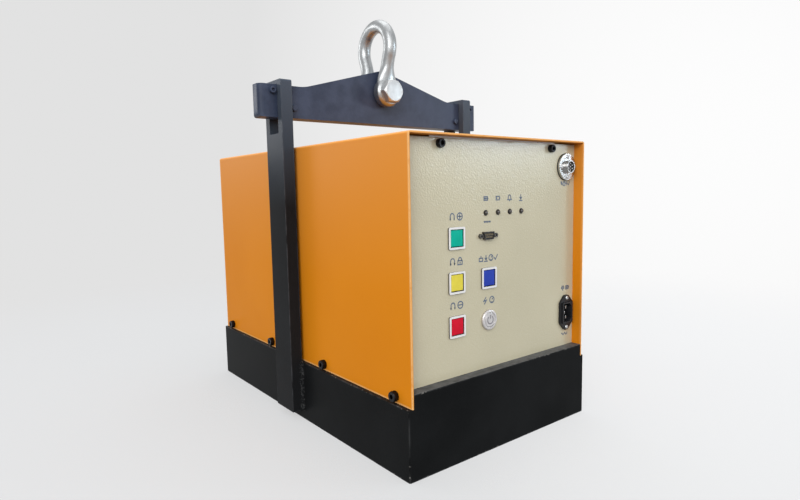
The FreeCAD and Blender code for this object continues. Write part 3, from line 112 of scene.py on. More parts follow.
# Shader helpers
def newLook(name):
    material = bpy.data.materials.new(name)
    material.use_nodes = True
    material.node_tree.nodes.clear()
    return material, Wire(material.node_tree)


def where(start):
    return start.node("ShaderNodeTexCoord", output="Object")


def axes(start):
    split = start.node("ShaderNodeSeparateXYZ", None, {0: where(start)})
    return split, split.other(1), split.other(2)


def noise(start, scale, detail=2, stretch=None):
    place = where(start)
    if stretch:
        place = start.node("ShaderNodeMapping", None, {"Vector": place, "Scale": stretch})
    return start.node("ShaderNodeTexNoise", None, {"Vector": place, "Scale": scale, "Detail": detail})


def cells(start, scale):  # rounded cells
    sockets = {"Vector": where(start), "Scale": scale}
    return start.node("ShaderNodeTexVoronoi", {"feature": "SMOOTH_F1"}, sockets)


def between(value, low, high):  # 0 at low, 1 at high, held outside
    return ((value - low) / (high - low)).clamped()


def blend(start, factor, first, second):
    pair = {0: factor, 6: (*first, 1.0) if isinstance(first, tuple) else first,
            7: (*second, 1.0) if isinstance(second, tuple) else second}
    return start.node("ShaderNodeMix", {"data_type": "RGBA"}, pair, output=2)


def bumped(start, height, distance):
    return start.node("ShaderNodeBump", None, {"Height": height, "Distance": distance})


def surface(start, sockets):
    shader = start.node("ShaderNodeBsdfPrincipled", None, sockets)
    start.node("ShaderNodeOutputMaterial", None, {"Surface": shader})


def boxEdgeMask(start, box, width):  # 1 on the edges of a box-shaped piece, fading over a width
    depths = []
    for place, first, last in zip(axes(start), *box):
        depths.append(start.math("MINIMUM", abs(place - first), abs(last - place)))
    near, far = (start.math(kind, depths[0], depths[1]) for kind in ("MINIMUM", "MAXIMUM"))
    edge = start.math("MAXIMUM", near, start.math("MINIMUM", far, depths[2]))
    return 1 - between(edge, 0.0, width)


# Mesh helpers
easing = {"merge": 0.005 * mm, "flat": 0.2, "corner": 40.0}


def newObject(name, data):
    thing = bpy.data.objects.new(name, data)
    scene.collection.objects.link(thing)
    return thing


def meshFrom(name, work):
    mesh = bpy.data.meshes.new(name)
    work.to_mesh(mesh)
    work.free()
    return mesh


def smooth(mesh, degrees=32.0):
    mesh.polygons.foreach_set("use_smooth", [True] * len(mesh.polygons))
    mesh.set_sharp_from_angle(angle=math.radians(degrees))


def evaluated(thing):  # a plain mesh of what the modifiers make
    graph = bpy.context.evaluated_depsgraph_get()
    return bpy.data.meshes.new_from_object(thing.evaluated_get(graph), depsgraph=graph)


def flatten(thing):
    made = evaluated(thing)
    thing.modifiers.clear()
    thing.data = made


def ease(thing, width, segments):  # rounds the sharp edges off
    smooth(thing.data)
    bevel = thing.modifiers.new("eased", "BEVEL")
    bevel.width = width
    bevel.segments = segments
    bevel.limit_method = "ANGLE"
    bevel.angle_limit = math.radians(easing["corner"])
    bevel.harden_normals = True
    flatten(thing)


def attach(thing, material, *replaced, body=None, slot=None):
    thing.data.materials.clear()
    thing.data.materials.append(material)
    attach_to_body(thing, body or bodyOf[replaced[0]])
    if replaced:
        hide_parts(*replaced)


def keepNodes(material, *names):  # CAD nodes shown as they are
    for name in names:
        slots = frame["nodes"][name].data.materials
        slots.clear()
        slots.append(material)


def dressNode(name, material, edge, segments=2):  # a merged copy of a CAD node with eased edges
    work = bmesh.new()
    work.from_mesh(frame["nodes"][name].data)
    bmesh.ops.remove_doubles(work, verts=work.verts, dist=easing["merge"])
    flat = math.radians(easing["flat"])
    bmesh.ops.dissolve_limit(work, angle_limit=flat, verts=work.verts, edges=work.edges)
    thing = newObject("dressed_" + name, meshFrom("dressed_" + name, work))
    ease(thing, edge, segments)
    attach(thing, material, name)


def skin(work, loops):  # quads from each loop to the next
    for lower, upper in zip(loops, loops[1:]):
        for step in range(len(lower)):
            after = (step + 1) % len(lower)
            work.faces.new((lower[step], lower[after], upper[after], upper[step]))


def lathe(work, rings, sides):  # rings of (radius, height), closed by fans; a radius may follow the angle
    turns = [full * step / sides for step in range(sides)]
    loops = []
    for radius, height in rings:
        loop = []
        for turn in turns:
            reach = radius(turn) if callable(radius) else radius
            loop.append(work.verts.new((reach * math.cos(turn), reach * math.sin(turn), height)))
        loops.append(loop)
    skin(work, loops)
    for loop, height in ((loops[0][::-1], rings[0][1]), (loops[-1], rings[-1][1])):
        hub = work.verts.new((0, 0, height))
        for step in range(sides):
            work.faces.new((loop[step], loop[(step + 1) % sides], hub))


def hexOutline(flats):
    def reach(angle):
        turn = (angle + full / 12) % (full / 6) - full / 12
        return flats / 2 / math.cos(turn)
    return reach


def tube(work, path, radii, sides):  # an elliptical tube along points in the YZ plane, closed at both ends
    loops = []
    for index, (point, (wide, thick)) in enumerate(zip(path, radii)):
        along = (path[min(index + 1, len(path) - 1)] - path[max(index - 1, 0)]).normalized()
        outward = Vector((0, along.z, -along.y))
        loop = []
        for step in range(sides):
            angle = full * step / sides
            sideways = Vector((wide * math.cos(angle), 0, 0))
            loop.append(work.verts.new(point + sideways + outward * thick * math.sin(angle)))
        loops.append(loop)
    skin(work, loops)
    work.faces.new(loops[0][::-1])
    work.faces.new(loops[-1])


# Geometry Nodes helpers
def newTree(name, inputs):
    tree = bpy.data.node_groups.new(name, "GeometryNodeTree")
    for label, kind in inputs.items():
        tree.interface.new_socket(name=label, in_out="INPUT", socket_type="NodeSocket" + kind)
    tree.interface.new_socket(name="Geometry", in_out="OUTPUT", socket_type="NodeSocketGeometry")
    return tree, Wire(tree).node("NodeGroupInput")


def closeTree(entry, geometry):
    solid = entry.node("GeometryNodeRealizeInstances", None, {0: geometry})
    sockets = {"Geometry": solid, "Material": entry.other("Finish")}
    finished = entry.node("GeometryNodeSetMaterial", None, sockets)
    entry.node("NodeGroupOutput", None, {0: finished})


def grow(tree, **values):  # a plain mesh from a tree and its inputs
    carrier = newObject(tree.name, bpy.data.meshes.new(tree.name))
    modifier = carrier.modifiers.new(tree.name, "NODES")
    modifier.node_group = tree
    for item in tree.interface.items_tree:
        if item.in_out == "INPUT":
            modifier[item.identifier] = values[item.name]
    mesh = evaluated(carrier)
    bpy.data.objects.remove(carrier)
    return mesh


def gather(name, meshes):
    work = bmesh.new()
    for mesh in meshes:
        work.from_mesh(mesh)
    thing = newObject(name, meshFrom(name, work))
    smooth(thing.data)
    return thing


def pieceInput(entry):
    return entry.node("GeometryNodeObjectInfo", None, {"Object": entry.other("Piece")}, output="Geometry")


def rowTree():  # copies of one piece along a straight row
    tree, entry = newTree("pieceRow", {
        "Piece": "Object", "Count": "Int", "First": "Vector", "Step": "Vector", "Turn": "Vector",
        "Finish": "Material"})
    row = entry.node("GeometryNodeMeshLine", {"mode": "OFFSET"}, {
        "Count": entry.other("Count"), "Start Location": entry.other("First"), "Offset": entry.other("Step")})
    turn = entry.node("FunctionNodeEulerToRotation", None, {0: entry.other("Turn")})
    placed = entry.node("GeometryNodeInstanceOnPoints", None, {
        "Points": row, "Instance": pieceInput(entry), "Rotation": turn})
    closeTree(entry, placed)
    return tree


def ringTree():  # copies of one piece round a circle on the panel
    tree, entry = newTree("pieceRing", {
        "Piece": "Object", "Count": "Int", "Radius": "Float", "Middle": "Vector", "Finish": "Material"})
    circle = entry.node("GeometryNodeMeshCircle", None, {
        "Vertices": entry.other("Count"), "Radius": entry.other("Radius")})
    placed = entry.node("GeometryNodeInstanceOnPoints", None, {
        "Points": circle, "Instance": pieceInput(entry)})
    upright = entry.node("GeometryNodeTransform", None, {
        "Geometry": placed, "Translation": entry.other("Middle"), "Rotation": towardsUser})
    closeTree(entry, upright)
    return tree


towardsUser = (math.pi / 2, 0, 0)
awayFromUser = (-math.pi / 2, 0, 0)
pieceRow = rowTree()
pieceRing = ringTree()


def growRows(piece, finish, rows):  # rows of (first, last, count, turn); the model piece is removed
    meshes = []
    for first, last, count, turn in rows:
        step = (Vector(last) - Vector(first)) / (count - 1)
        meshes.append(grow(pieceRow, Piece=piece, Count=count, First=first, Step=step, Turn=turn,
                           Finish=finish))
    bpy.data.objects.remove(piece)
    return meshes


# Painted steel
paintDefaults = {
    "cloudBand": (0.35, 0.65), "fleckBand": (0.5, 0.75), "wearAndHighlightScale": 60.0, "chipScale": 240.0,
    "chipBand": (0.58, 0.66), "patchScale": 22.0, "patchBand": (0.45, 0.6), "topDustAndLightScale": 130.0,
    "topDustAndLightBand": (0.0, 0.6), "topDustAndLightFrom": 0.4 * mm, "topDustAndLightFull": 0.1 * mm,
}


def addTopDustAndLight(start, look, colour, top):  # dust and painted light: the uppermost face turns lighter in blotches
    topDustAndLightMask = between(axes(start)[2], top - look["topDustAndLightFrom"], top - look["topDustAndLightFull"])
    topDustAndLightMask = topDustAndLightMask * between(noise(start, look["topDustAndLightScale"], detail=4), *look["topDustAndLightBand"])
    return blend(start, topDustAndLightMask * look["topDustAndLightAmount"], colour, look["topDustAndLight"])


def wearAndHighlightEdges(start, look, colour, box, ledge):  # worn edges with a painted highlight along them, and chips down to the metal
    edgeMask = boxEdgeMask(start, box, look["edgeWidth"])
    # painted highlight: a lighter line along the ledge under the cover's edge, also wear
    if ledge:
        across, up = axes(start)[::2]
        side = start.math("MINIMUM", abs(across - box[0].x), abs(box[1].x - across))
        lip = start.math("MAXIMUM", side, abs(up - ledge))
        edgeMask = start.math("MAXIMUM", edgeMask, 1 - between(lip, 0.0, look["edgeWidth"]))
    # the edge colour is wear and a painted highlight
    broken = edgeMask * between(noise(start, look["wearAndHighlightScale"], detail=3), *look["edgeBreak"])
    colour = blend(start, broken * look["wearAndHighlightAmount"], colour, look["edge"])
    if "chip" in look:
        chipped = edgeMask * between(noise(start, look["chipScale"], detail=4), *look["chipBand"])
        chipped = chipped * between(noise(start, look["patchScale"], detail=2), *look["patchBand"])
        colour = blend(start, chipped * look["chipAmount"], colour, look["chip"])
    return colour


def paint(name, look, box=None, ledge=None):  # a ledge is a level where the sides have one more edge
    material, start = newLook(name)
    look = {**paintDefaults, **look}
    cloud = noise(start, look["cloudScale"], detail=4)
    fleck = noise(start, look["fleckScale"], detail=2)
    colour = blend(start, between(cloud, *look["cloudBand"]), look["colour"], look["shade"])
    # painted light: the colour turns lighter towards the top, where more light falls
    if "upper" in look:
        colour = blend(start, between(axes(start)[2], *look["upperSpan"]), colour, look["upper"])
    colour = blend(start, between(fleck, *look["fleckBand"]) * look["fleckAmount"], colour, look["fleck"])
    if ledge:
        colour = addTopDustAndLight(start, look, colour, box[1].z)
    if box:
        colour = wearAndHighlightEdges(start, look, colour, box, ledge)
    rough = look["roughness"] + (cloud - 0.5) * look["roughSpread"]
    peel = noise(start, look["peelScale"], detail=2)
    surface(start, {"Base Color": colour, "Roughness": rough, "Specular IOR Level": look["gloss"],
                    "Normal": bumped(start, peel, look["peelDepth"])})
    return material


coverLook = {
    "colour": (0.73, 0.240, 0.009), "shade": (0.69, 0.220, 0.008), "cloudScale": 5.0,
    "fleck": (0.80, 0.29, 0.02), "fleckScale": 900.0, "fleckAmount": 0.25,
    # painted sheen: the cover turns paler towards its top
    "upper": (0.725, 0.262, 0.036), "upperSpan": (0.20, 0.38), "roughness": 0.40, "roughSpread": 0.14,
    # painted highlight: a lighter, nearly unbroken line along the cover's edges and bends
    "edge": (0.93, 0.54, 0.22), "edgeWidth": 2.4 * mm, "wearAndHighlightAmount": 0.85, "edgeBreak": (0.18, 0.42),
    "peelScale": 650.0, "peelDepth": 0.06 * mm, "gloss": 0.05,
}
blockLook = {
    "colour": (0.0062, 0.0066, 0.0068), "shade": (0.0096, 0.0101, 0.0104), "cloudScale": 14.0,
    "fleck": (0.045, 0.045, 0.045), "fleckScale": 1400.0, "fleckAmount": 0.2,
    "roughness": 0.36, "roughSpread": 0.25,
    # the edge colour is wear and a painted highlight along the edges and the ledge
    "edge": (0.10, 0.10, 0.10), "edgeWidth": 1.8 * mm, "wearAndHighlightAmount": 0.6, "edgeBreak": (0.35, 0.7),
    # chips are wear; the deck's colour is dust and painted light
    "chip": (0.42, 0.39, 0.35), "chipAmount": 0.9, "topDustAndLight": (0.115, 0.113, 0.110), "topDustAndLightAmount": 0.9,
    "peelScale": 420.0, "peelDepth": 0.12 * mm, "gloss": 0.025,
}
seamLook = {**blockLook, "fleck": (0.12, 0.12, 0.12), "fleckScale": 420.0, "fleckAmount": 0.6}
armLook = {
    "colour": (0.0122, 0.0124, 0.0130), "shade": (0.0152, 0.0156, 0.0164), "cloudScale": 18.0,
    "fleck": (0.045, 0.046, 0.05), "fleckScale": 1300.0, "fleckAmount": 0.2,
    # painted light: the arms turn blue-grey towards their top, where more light falls
    "upper": (0.072, 0.087, 0.112), "upperSpan": (0.29, 0.47), "roughness": 0.22, "roughSpread": 0.12,
    "edge": (0.13, 0.135, 0.145), "edgeWidth": 1.4 * mm, "wearAndHighlightAmount": 0.55, "edgeBreak": (0.35, 0.7),
    "peelScale": 500.0, "peelDepth": 0.05 * mm, "gloss": 0.022,
}
beamLook = {
    "colour": (0.0285, 0.0380, 0.067), "shade": (0.046, 0.060, 0.100), "cloudScale": 45.0,
    "fleck": (0.08, 0.09, 0.12), "fleckScale": 1200.0, "fleckAmount": 0.25,
    "roughness": 0.44, "roughSpread": 0.16, "peelScale": 380.0, "peelDepth": 0.1 * mm, "gloss": 0.2,
}
coverBox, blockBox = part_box("cover_shell"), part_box("magnet_housing")
coverPaint = paint("coverPaint", coverLook, coverBox)
blockPaint = paint("blockPaint", blockLook, blockBox, coverBox[0].z)
armPaints = {side: paint(side + "Paint", armLook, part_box(side)) for side in ("left_arm", "right_arm")}
weldPaint = paint("weldPaint", seamLook)
beamPaint = paint("beamPaint", beamLook)

# Cream hammer-finish paint of the panels
panelLook = {
    "colour": (0.57, 0.51, 0.355), "shade": (0.525, 0.47, 0.325), "cloudScale": 9.0, "cloudBand": (0.3, 0.7),
    "light": (0.69, 0.65, 0.52), "lightBand": (0.55, 0.8), "lightAmount": 0.3,
    "pebble": 640.0, "pebbleShare": 0.7, "dimple": 500.0, "dimpleShare": 0.5, "depth": 0.27 * mm,
    "roughness": 0.12, "roughSpread": 0.12,
}


def hammerPaint(look):
    material, start = newLook("panelPaint")
    pebble = noise(start, look["pebble"], detail=3)
    dimple = cells(start, look["dimple"])
    cloud = noise(start, look["cloudScale"], detail=3)
    colour = blend(start, between(cloud, *look["cloudBand"]), look["colour"], look["shade"])
    colour = blend(start, between(pebble, *look["lightBand"]) * look["lightAmount"], colour, look["light"])
    height = pebble * look["pebbleShare"] + dimple * look["dimpleShare"]
    surface(start, {"Base Color": colour, "Roughness": look["roughness"] + pebble * look["roughSpread"],
                    "Normal": bumped(start, height, look["depth"])})
    return material


panelPaint = hammerPaint(panelLook)

# Bare and plated metals
metalClouds = (0.32, 0.68)


def metal(name, look):
    material, start = newLook(name)
    cloud = noise(start, look["cloudScale"], detail=4)
    grain = noise(start, look["grainScale"], detail=3, stretch=look.get("stretch"))
    colour = blend(start, between(cloud, *metalClouds), look["colour"], look["shade"])
    rough = look["roughness"] + (cloud - 0.5) * look["roughSpread"] + (grain - 0.5) * look["grainRough"]
    surface(start, {"Base Color": colour, "Metallic": 1.0, "Roughness": rough,
                    "Normal": bumped(start, grain, look["depth"])})
    return material


galvanised = metal("galvanised", {
    "colour": (0.44, 0.455, 0.462), "shade": (0.325, 0.337, 0.343), "cloudScale": 90.0, "grainScale": 320.0,
    "roughness": 0.4, "roughSpread": 0.3, "grainRough": 0.2, "depth": 0.14 * mm})
brightBolt = metal("brightBolt", {
    "colour": (0.58, 0.59, 0.595), "shade": (0.49, 0.50, 0.505), "cloudScale": 120.0, "grainScale": 700.0,
    "roughness": 0.5, "roughSpread": 0.2, "grainRough": 0.15, "depth": 0.06 * mm})
nickel = metal("nickel", {
    "colour": (0.50, 0.497, 0.49), "shade": (0.43, 0.427, 0.42), "cloudScale": 150.0, "grainScale": 1500.0,
    "roughness": 0.24, "roughSpread": 0.1, "grainRough": 0.06, "depth": 0.01 * mm})
darkTin = metal("darkTin", {
    "colour": (0.13, 0.125, 0.12), "shade": (0.09, 0.085, 0.085), "cloudScale": 200.0, "grainScale": 1500.0,
    "roughness": 0.4, "roughSpread": 0.15, "grainRough": 0.1, "depth": 0.01 * mm})
satinNickel = metal("satinNickel", {
    "colour": (0.67, 0.64, 0.63), "shade": (0.58, 0.555, 0.55), "cloudScale": 120.0, "grainScale": 1400.0,
    "roughness": 0.42, "roughSpread": 0.1, "grainRough": 0.15, "depth": 0.02 * mm})
blackOxide = metal("blackOxide", {
    "colour": (0.030, 0.030, 0.033), "shade": (0.018, 0.018, 0.020), "cloudScale": 220.0,
    "grainScale": 1500.0, "roughness": 0.38, "roughSpread": 0.2, "grainRough": 0.15, "depth": 0.03 * mm})
zincPlate = metal("zincPlate", {
    "colour": (0.60, 0.61, 0.63), "shade": (0.52, 0.53, 0.50), "cloudScale": 60.0, "grainScale": 900.0,
    "roughness": 0.3, "roughSpread": 0.15, "grainRough": 0.1, "depth": 0.02 * mm})
groundSteel = metal("groundSteel", {
    "colour": (0.50, 0.50, 0.51), "shade": (0.42, 0.42, 0.43), "cloudScale": 16.0, "grainScale": 500.0,
    "stretch": (1.0, 0.02, 1.0), "roughness": 0.34, "roughSpread": 0.16, "grainRough": 0.35,
    "depth": 0.03 * mm})
magnetAlloy = metal("magnetAlloy", {
    "colour": (0.23, 0.23, 0.235), "shade": (0.15, 0.15, 0.155), "cloudScale": 70.0, "grainScale": 260.0,
    "roughness": 0.55, "roughSpread": 0.2, "grainRough": 0.2, "depth": 0.2 * mm})
contactGold = metal("contactGold", {
    "colour": (0.44, 0.34, 0.18), "shade": (0.37, 0.28, 0.14), "cloudScale": 200.0, "grainScale": 1500.0,
    "roughness": 0.24, "roughSpread": 0.1, "grainRough": 0.05, "depth": 0.01 * mm})
copperWire = metal("copperWire", {
    "colour": (0.58, 0.23, 0.10), "shade": (0.46, 0.17, 0.07), "cloudScale": 40.0, "grainScale": 480.0,
    "stretch": (0.05, 0.05, 1.0), "roughness": 0.34, "roughSpread": 0.1, "grainRough": 0.2,
    "depth": 0.5 * mm})

# Mouldings and inks
mouldLook = {"cloudScale": 110.0, "cloudBand": (0.3, 0.7), "grainScale": 1800.0, "grainRough": 0.2,
             "depth": 0.02 * mm, "coat": 0.0, "gloss": 0.5}


def moulded(name, look):  # painted shade: a darker colour behind a level along Y, for the shade in the gap round a cap
    material, start = newLook(name)
    look = {**mouldLook, **look}
    cloud = noise(start, look["cloudScale"], detail=3)
    grain = noise(start, look["grainScale"], detail=2)
    colour = blend(start, between(cloud, *look["cloudBand"]), look["colour"], look["shade"])
    if "well" in look:
        colour = blend(start, between(axes(start)[1], *look["wellSpan"]), colour, look["well"])
    rough = look["roughness"] + (grain - 0.5) * look["grainRough"]
    surface(start, {"Base Color": colour, "Roughness": rough, "Coat Weight": look["coat"],
                    "Specular IOR Level": look["gloss"], "Normal": bumped(start, grain, look["depth"])})
    return material


# painted shade: the bezel turns near-black behind its rim, in the gap round each cap
bezelRim, bezelFade = 0.5 * mm, 0.15 * mm
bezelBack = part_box("button_housings")[0].y + bezelRim
bezelPlastic = moulded("bezelPlastic", {
    "colour": (0.80, 0.775, 0.755), "shade": (0.75, 0.725, 0.705), "roughness": 0.36,
    "well": (0.02, 0.02, 0.021), "wellSpan": (bezelBack, bezelBack + bezelFade)})
blackPlastic = moulded("blackPlastic", {
    "colour": (0.009, 0.009, 0.0105), "shade": (0.013, 0.013, 0.015), "roughness": 0.46, "gloss": 0.3})
batteryPlastic = moulded("batteryPlastic", {
    "colour": (0.055, 0.06, 0.07), "shade": (0.045, 0.05, 0.058), "roughness": 0.5})
gasketRubber = moulded("gasketRubber", {
    "colour": (0.012, 0.012, 0.012), "shade": (0.02, 0.02, 0.02), "roughness": 0.72, "depth": 0.05 * mm})
castResin = moulded("castResin", {
    "colour": (0.028, 0.024, 0.021), "shade": (0.04, 0.035, 0.03), "roughness": 0.3, "coat": 0.3,
    "cloudScale": 30.0})
boardMask = moulded("boardMask", {
    "colour": (0.015, 0.115, 0.045), "shade": (0.02, 0.09, 0.04), "roughness": 0.35, "coat": 0.3,
    "cloudScale": 60.0})
smokedLens = moulded("smokedLens", {
    "colour": (0.020, 0.018, 0.016), "shade": (0.035, 0.02, 0.016), "roughness": 0.12, "coat": 0.8})
printInk = moulded("printInk", {
    "colour": (0.080, 0.110, 0.165), "shade": (0.105, 0.135, 0.19), "roughness": 0.55, "cloudScale": 900.0})
symbolInk = moulded("symbolInk", {
    "colour": (0.17, 0.155, 0.165), "shade": (0.21, 0.195, 0.205), "roughness": 0.5, "cloudScale": 900.0})
print("materials made:", len(bpy.data.materials))

# Steelwork
dressNode("magnet_housing", blockPaint, 0.8 * mm)
dressNode("cover_shell", coverPaint, 0.35 * mm)
dressNode("left_arm", armPaints["left_arm"], 0.9 * mm)
dressNode("right_arm", armPaints["right_arm"], 0.9 * mm)
dressNode("lifting_beam", beamPaint, 1.2 * mm)
dressNode("beam_keeper_pins", beamPaint, 0.8 * mm)
dressNode("front_panel", panelPaint, 0.25 * mm)
dressNode("rear_panel", panelPaint, 0.25 * mm)
dressNode("pole_shoes", groundSteel, 0.6 * mm)
print("steelwork dressed")

# Weld beads where the arms meet the block
weldLook = {"leg": 5.0 * mm, "ripple": 0.09, "pitch": 3.4 * mm, "lumps": 90.0, "samples": 160, "sides": 10}


def beadTree():  # a quarter-round bead whose size ripples along its length
    tree, entry = newTree("weldBead", {
        "Length": "Float", "Leg": "Float", "Ripple": "Float", "Pitch": "Float", "Lumps": "Float",
        "Samples": "Int", "Sides": "Int", "Turn": "Vector", "Foot": "Vector", "Finish": "Material"})
    top = entry.node("ShaderNodeCombineXYZ", None, {"Z": entry.other("Length")})
    line = entry.node("GeometryNodeCurvePrimitiveLine", None, {"End": top})
    fine = entry.node("GeometryNodeResampleCurve", None, {"Curve": line, "Count": entry.other("Samples")})
    along = entry.node("GeometryNodeSplineParameter", output="Length")
    wave = entry.math("SINE", along / entry.other("Pitch") * full)
    uneven = entry.node("ShaderNodeTexNoise", {"noise_dimensions": "1D"}, {
        "W": along, "Scale": entry.other("Lumps")})
    swell = 1 - entry.other("Ripple") * (abs(wave) + uneven)
    sized = entry.node("GeometryNodeSetCurveRadius", None, {"Curve": fine, "Radius": swell})
    profile = entry.node("GeometryNodeCurveArc", None, {
        "Resolution": entry.other("Sides"), "Radius": entry.other("Leg"), "Start Angle": 0.0,
        "Sweep Angle": math.pi / 2, "Connect Center": True})
    bead = entry.node("GeometryNodeCurveToMesh", None, {
        "Curve": sized, "Profile Curve": profile, "Scale": entry.node("GeometryNodeInputRadius"),
        "Fill Caps": True})
    turn = entry.node("FunctionNodeEulerToRotation", None, {0: entry.other("Turn")})
    placed = entry.node("GeometryNodeTransform", None, {
        "Geometry": bead, "Translation": entry.other("Foot"), "Rotation": turn})
    closeTree(entry, placed)
    return tree


def weldBeads(look):
    low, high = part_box("arm_welds")
    side, front = blockBox[1].x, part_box("left_arm")[1].y
    tree = beadTree()
    runs = []
    for across, back, turn in ((1, 1, 0), (-1, 1, 90), (-1, -1, 180), (1, -1, 270)):
        runs.append(grow(tree, Length=high.z - low.z, Leg=look["leg"], Ripple=look["ripple"],
                         Pitch=look["pitch"], Lumps=look["lumps"], Samples=look["samples"],
                         Sides=look["sides"], Turn=(0, 0, math.radians(turn)),
                         Foot=(across * side, back * front, low.z), Finish=weldPaint))
    attach(gather("weldBeads", runs), weldPaint, "arm_welds")


weldBeads(weldLook)

# Screws
capScrew = {"head": 12.0 * mm, "height": 6.5 * mm, "key": 5.0 * mm, "keyDepth": 3.2 * mm, "ridges": 36}
stopScrew = {"head": 8.5 * mm, "height": 5.0 * mm, "key": 4.0 * mm, "keyDepth": 2.4 * mm, "ridges": 28}
panelScrew = {"head": 10.0 * mm, "height": 6.0 * mm, "key": 5.0 * mm, "keyDepth": 3.0 * mm, "ridges": 32}
flangeScrew = {"head": 4.6 * mm, "height": 1.6 * mm, "key": 2.0 * mm, "keyDepth": 0.8 * mm}
inletScrew = {"head": 5.6 * mm, "height": 1.8 * mm, "key": 2.0 * mm, "keyDepth": 0.9 * mm}
# Profiles in shares of a head's radius and height
capProfile = {"foot": ((0.93, 0.0), (0.96, 0.08)), "knurl": (0.14, 0.78), "ridgeDepth": 0.018,
              "crown": ((0.965, 0.84), (0.95, 0.93), (0.88, 1.0)), "keyMouth": 0.64, "keyEase": 0.3 * mm,
              "ridgeSides": 6}
domeProfile = {"foot": 0.97, "rim": 0.12, "sweep": math.radians(62), "steps": 6, "keyMouth": 0.62,
               "keyLimit": 0.46, "keyEase": 0.15 * mm, "sides": 72}


def knurled(radius, ridges):
    return lambda angle: radius - capProfile["ridgeDepth"] * radius * (1 - math.cos(angle * ridges))


def turnedHead(name, look, rings, mouth, profile, sides):  # a head with a hexagon key in its top
    key, height = hexOutline(look["key"]), look["height"]
    well = [(mouth, height), (key, height - profile["keyEase"]), (key, height - look["keyDepth"])]
    work = bmesh.new()
    lathe(work, rings + well, sides)
    return newObject(name, meshFrom(name, work))


def knurledScrew(name, look):  # socket cap head with fine ridges round it
    radius, height = look["head"] / 2, look["height"]
    rings = [(radius * share, rise * height) for share, rise in capProfile["foot"]]
    rings += [(knurled(radius, look["ridges"]), rise * height) for rise in capProfile["knurl"]]
    rings += [(radius * share, rise * height) for share, rise in capProfile["crown"]]
    mouth = look["key"] * capProfile["keyMouth"]
    return turnedHead(name, look, rings, mouth, capProfile, look["ridges"] * capProfile["ridgeSides"])


def domedScrew(name, look):  # low domed head
    radius, height = look["head"] / 2, look["height"]
    rim, sweep, steps = domeProfile["rim"], domeProfile["sweep"], domeProfile["steps"]
    rings = [(radius * domeProfile["foot"], 0.0), (radius, rim * height)]
    for step in range(1, steps + 1):
        angle = step / steps * sweep
        rise = rim + (1 - rim) * math.sin(angle) / math.sin(sweep)
        rings.append((radius * math.cos(angle), height * rise))
    mouth = min(look["key"] * domeProfile["keyMouth"], radius * domeProfile["keyLimit"])
    return turnedHead(name, look, rings, mouth, domeProfile, domeProfile["sides"])


def coverScrews():
    piece = knurledScrew("capScrewHead", capScrew)
    low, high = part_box("cover_screws")
    level, reach = (low.z + high.z) / 2, high.y - capScrew["head"] / 2
    rows = []
    for across in (-1, 1):
        side, turn = across * coverBox[1].x, (0, across * math.pi / 2, 0)
        rows.append(((side, -reach, level), (side, reach, level), 4, turn))
    attach(gather("coverScrews", growRows(piece, blackOxide, rows)), blackOxide, "cover_screws")


def panelScrews():
    piece = knurledScrew("panelScrewHead", panelScrew)
    low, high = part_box("panel_screws")
    reach, level = high.x - panelScrew["head"] / 2, (low.z + high.z) / 2
    face = high.y - panelScrew["height"]
    rows = [((-reach, -face, level), (reach, -face, level), 2, towardsUser),
            ((-reach, face, level), (reach, face, level), 2, awayFromUser)]
    attach(gather("panelScrews", growRows(piece, blackOxide, rows)), blackOxide, "panel_screws")


def stopScrews():
    piece = knurledScrew("stopScrewHead", stopScrew)
    low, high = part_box("beam_stop_screws")
    reach, level = high.x - stopScrew["head"] / 2, (low.z + high.z) / 2
    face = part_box("lifting_beam")[0].y
    rows = [((-reach, face, level), (reach, face, level), 2, towardsUser)]
    attach(gather("stopScrews", growRows(piece, beamPaint, rows)), beamPaint, "beam_stop_screws")


def inletScrews():
    piece = domedScrew("inletScrewHead", inletScrew)
    low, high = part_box("inlet_screws")
    column, face = (low.x + high.x) / 2, low.y + inletScrew["height"]
    bottom, top = low.z + inletScrew["head"] / 2, high.z - inletScrew["head"] / 2
    rows = [((column, face, bottom), (column, face, top), 2, towardsUser)]
    attach(gather("inletScrews", growRows(piece, zincPlate, rows)), zincPlate, "inlet_screws")


def flangeScrews():
    piece = domedScrew("flangeScrewHead", flangeScrew)
    low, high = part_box("remote_screws")
    middle = (low + high) / 2
    radius = (high.x - low.x - flangeScrew["head"]) / 2
    mesh = grow(pieceRing, Piece=piece, Count=4, Radius=radius, Finish=zincPlate,
                Middle=(middle.x, low.y + flangeScrew["height"], middle.z))
    bpy.data.objects.remove(piece)
    attach(gather("flangeScrews", [mesh]), zincPlate, "remote_screws")


coverScrews()
panelScrews()
stopScrews()
inletScrews()
flangeScrews()
print("screws placed")

# Bow shackle
shackleLook = {
    "legOut": 23.0 * mm, "stock": 9.5 * mm, "bowRise": 65.5 * mm, "bowRadius": 32.5 * mm,
    "neckRise": 17.0 * mm, "legSteps": 6, "steps": 26, "sides": 32,
    "eyeRadius": 20.5 * mm, "eyeThick": 16.0 * mm, "eyeEase": 3.2 * mm, "eyeSides": 64, "bore": 10.2 * mm,
    "flareTop": 40.0 * mm, "flareRun": 30.0 * mm, "flareWide": 8.0 * mm, "flareThin": 1.4 * mm,
    "voxel": 1.0 * mm, "softness": 0.5, "softenings": 6, "smoothing": 180.0,
}
boltLow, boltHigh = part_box("shackle_bolt")
pinLevel = (boltLow.z + boltHigh.z) / 2


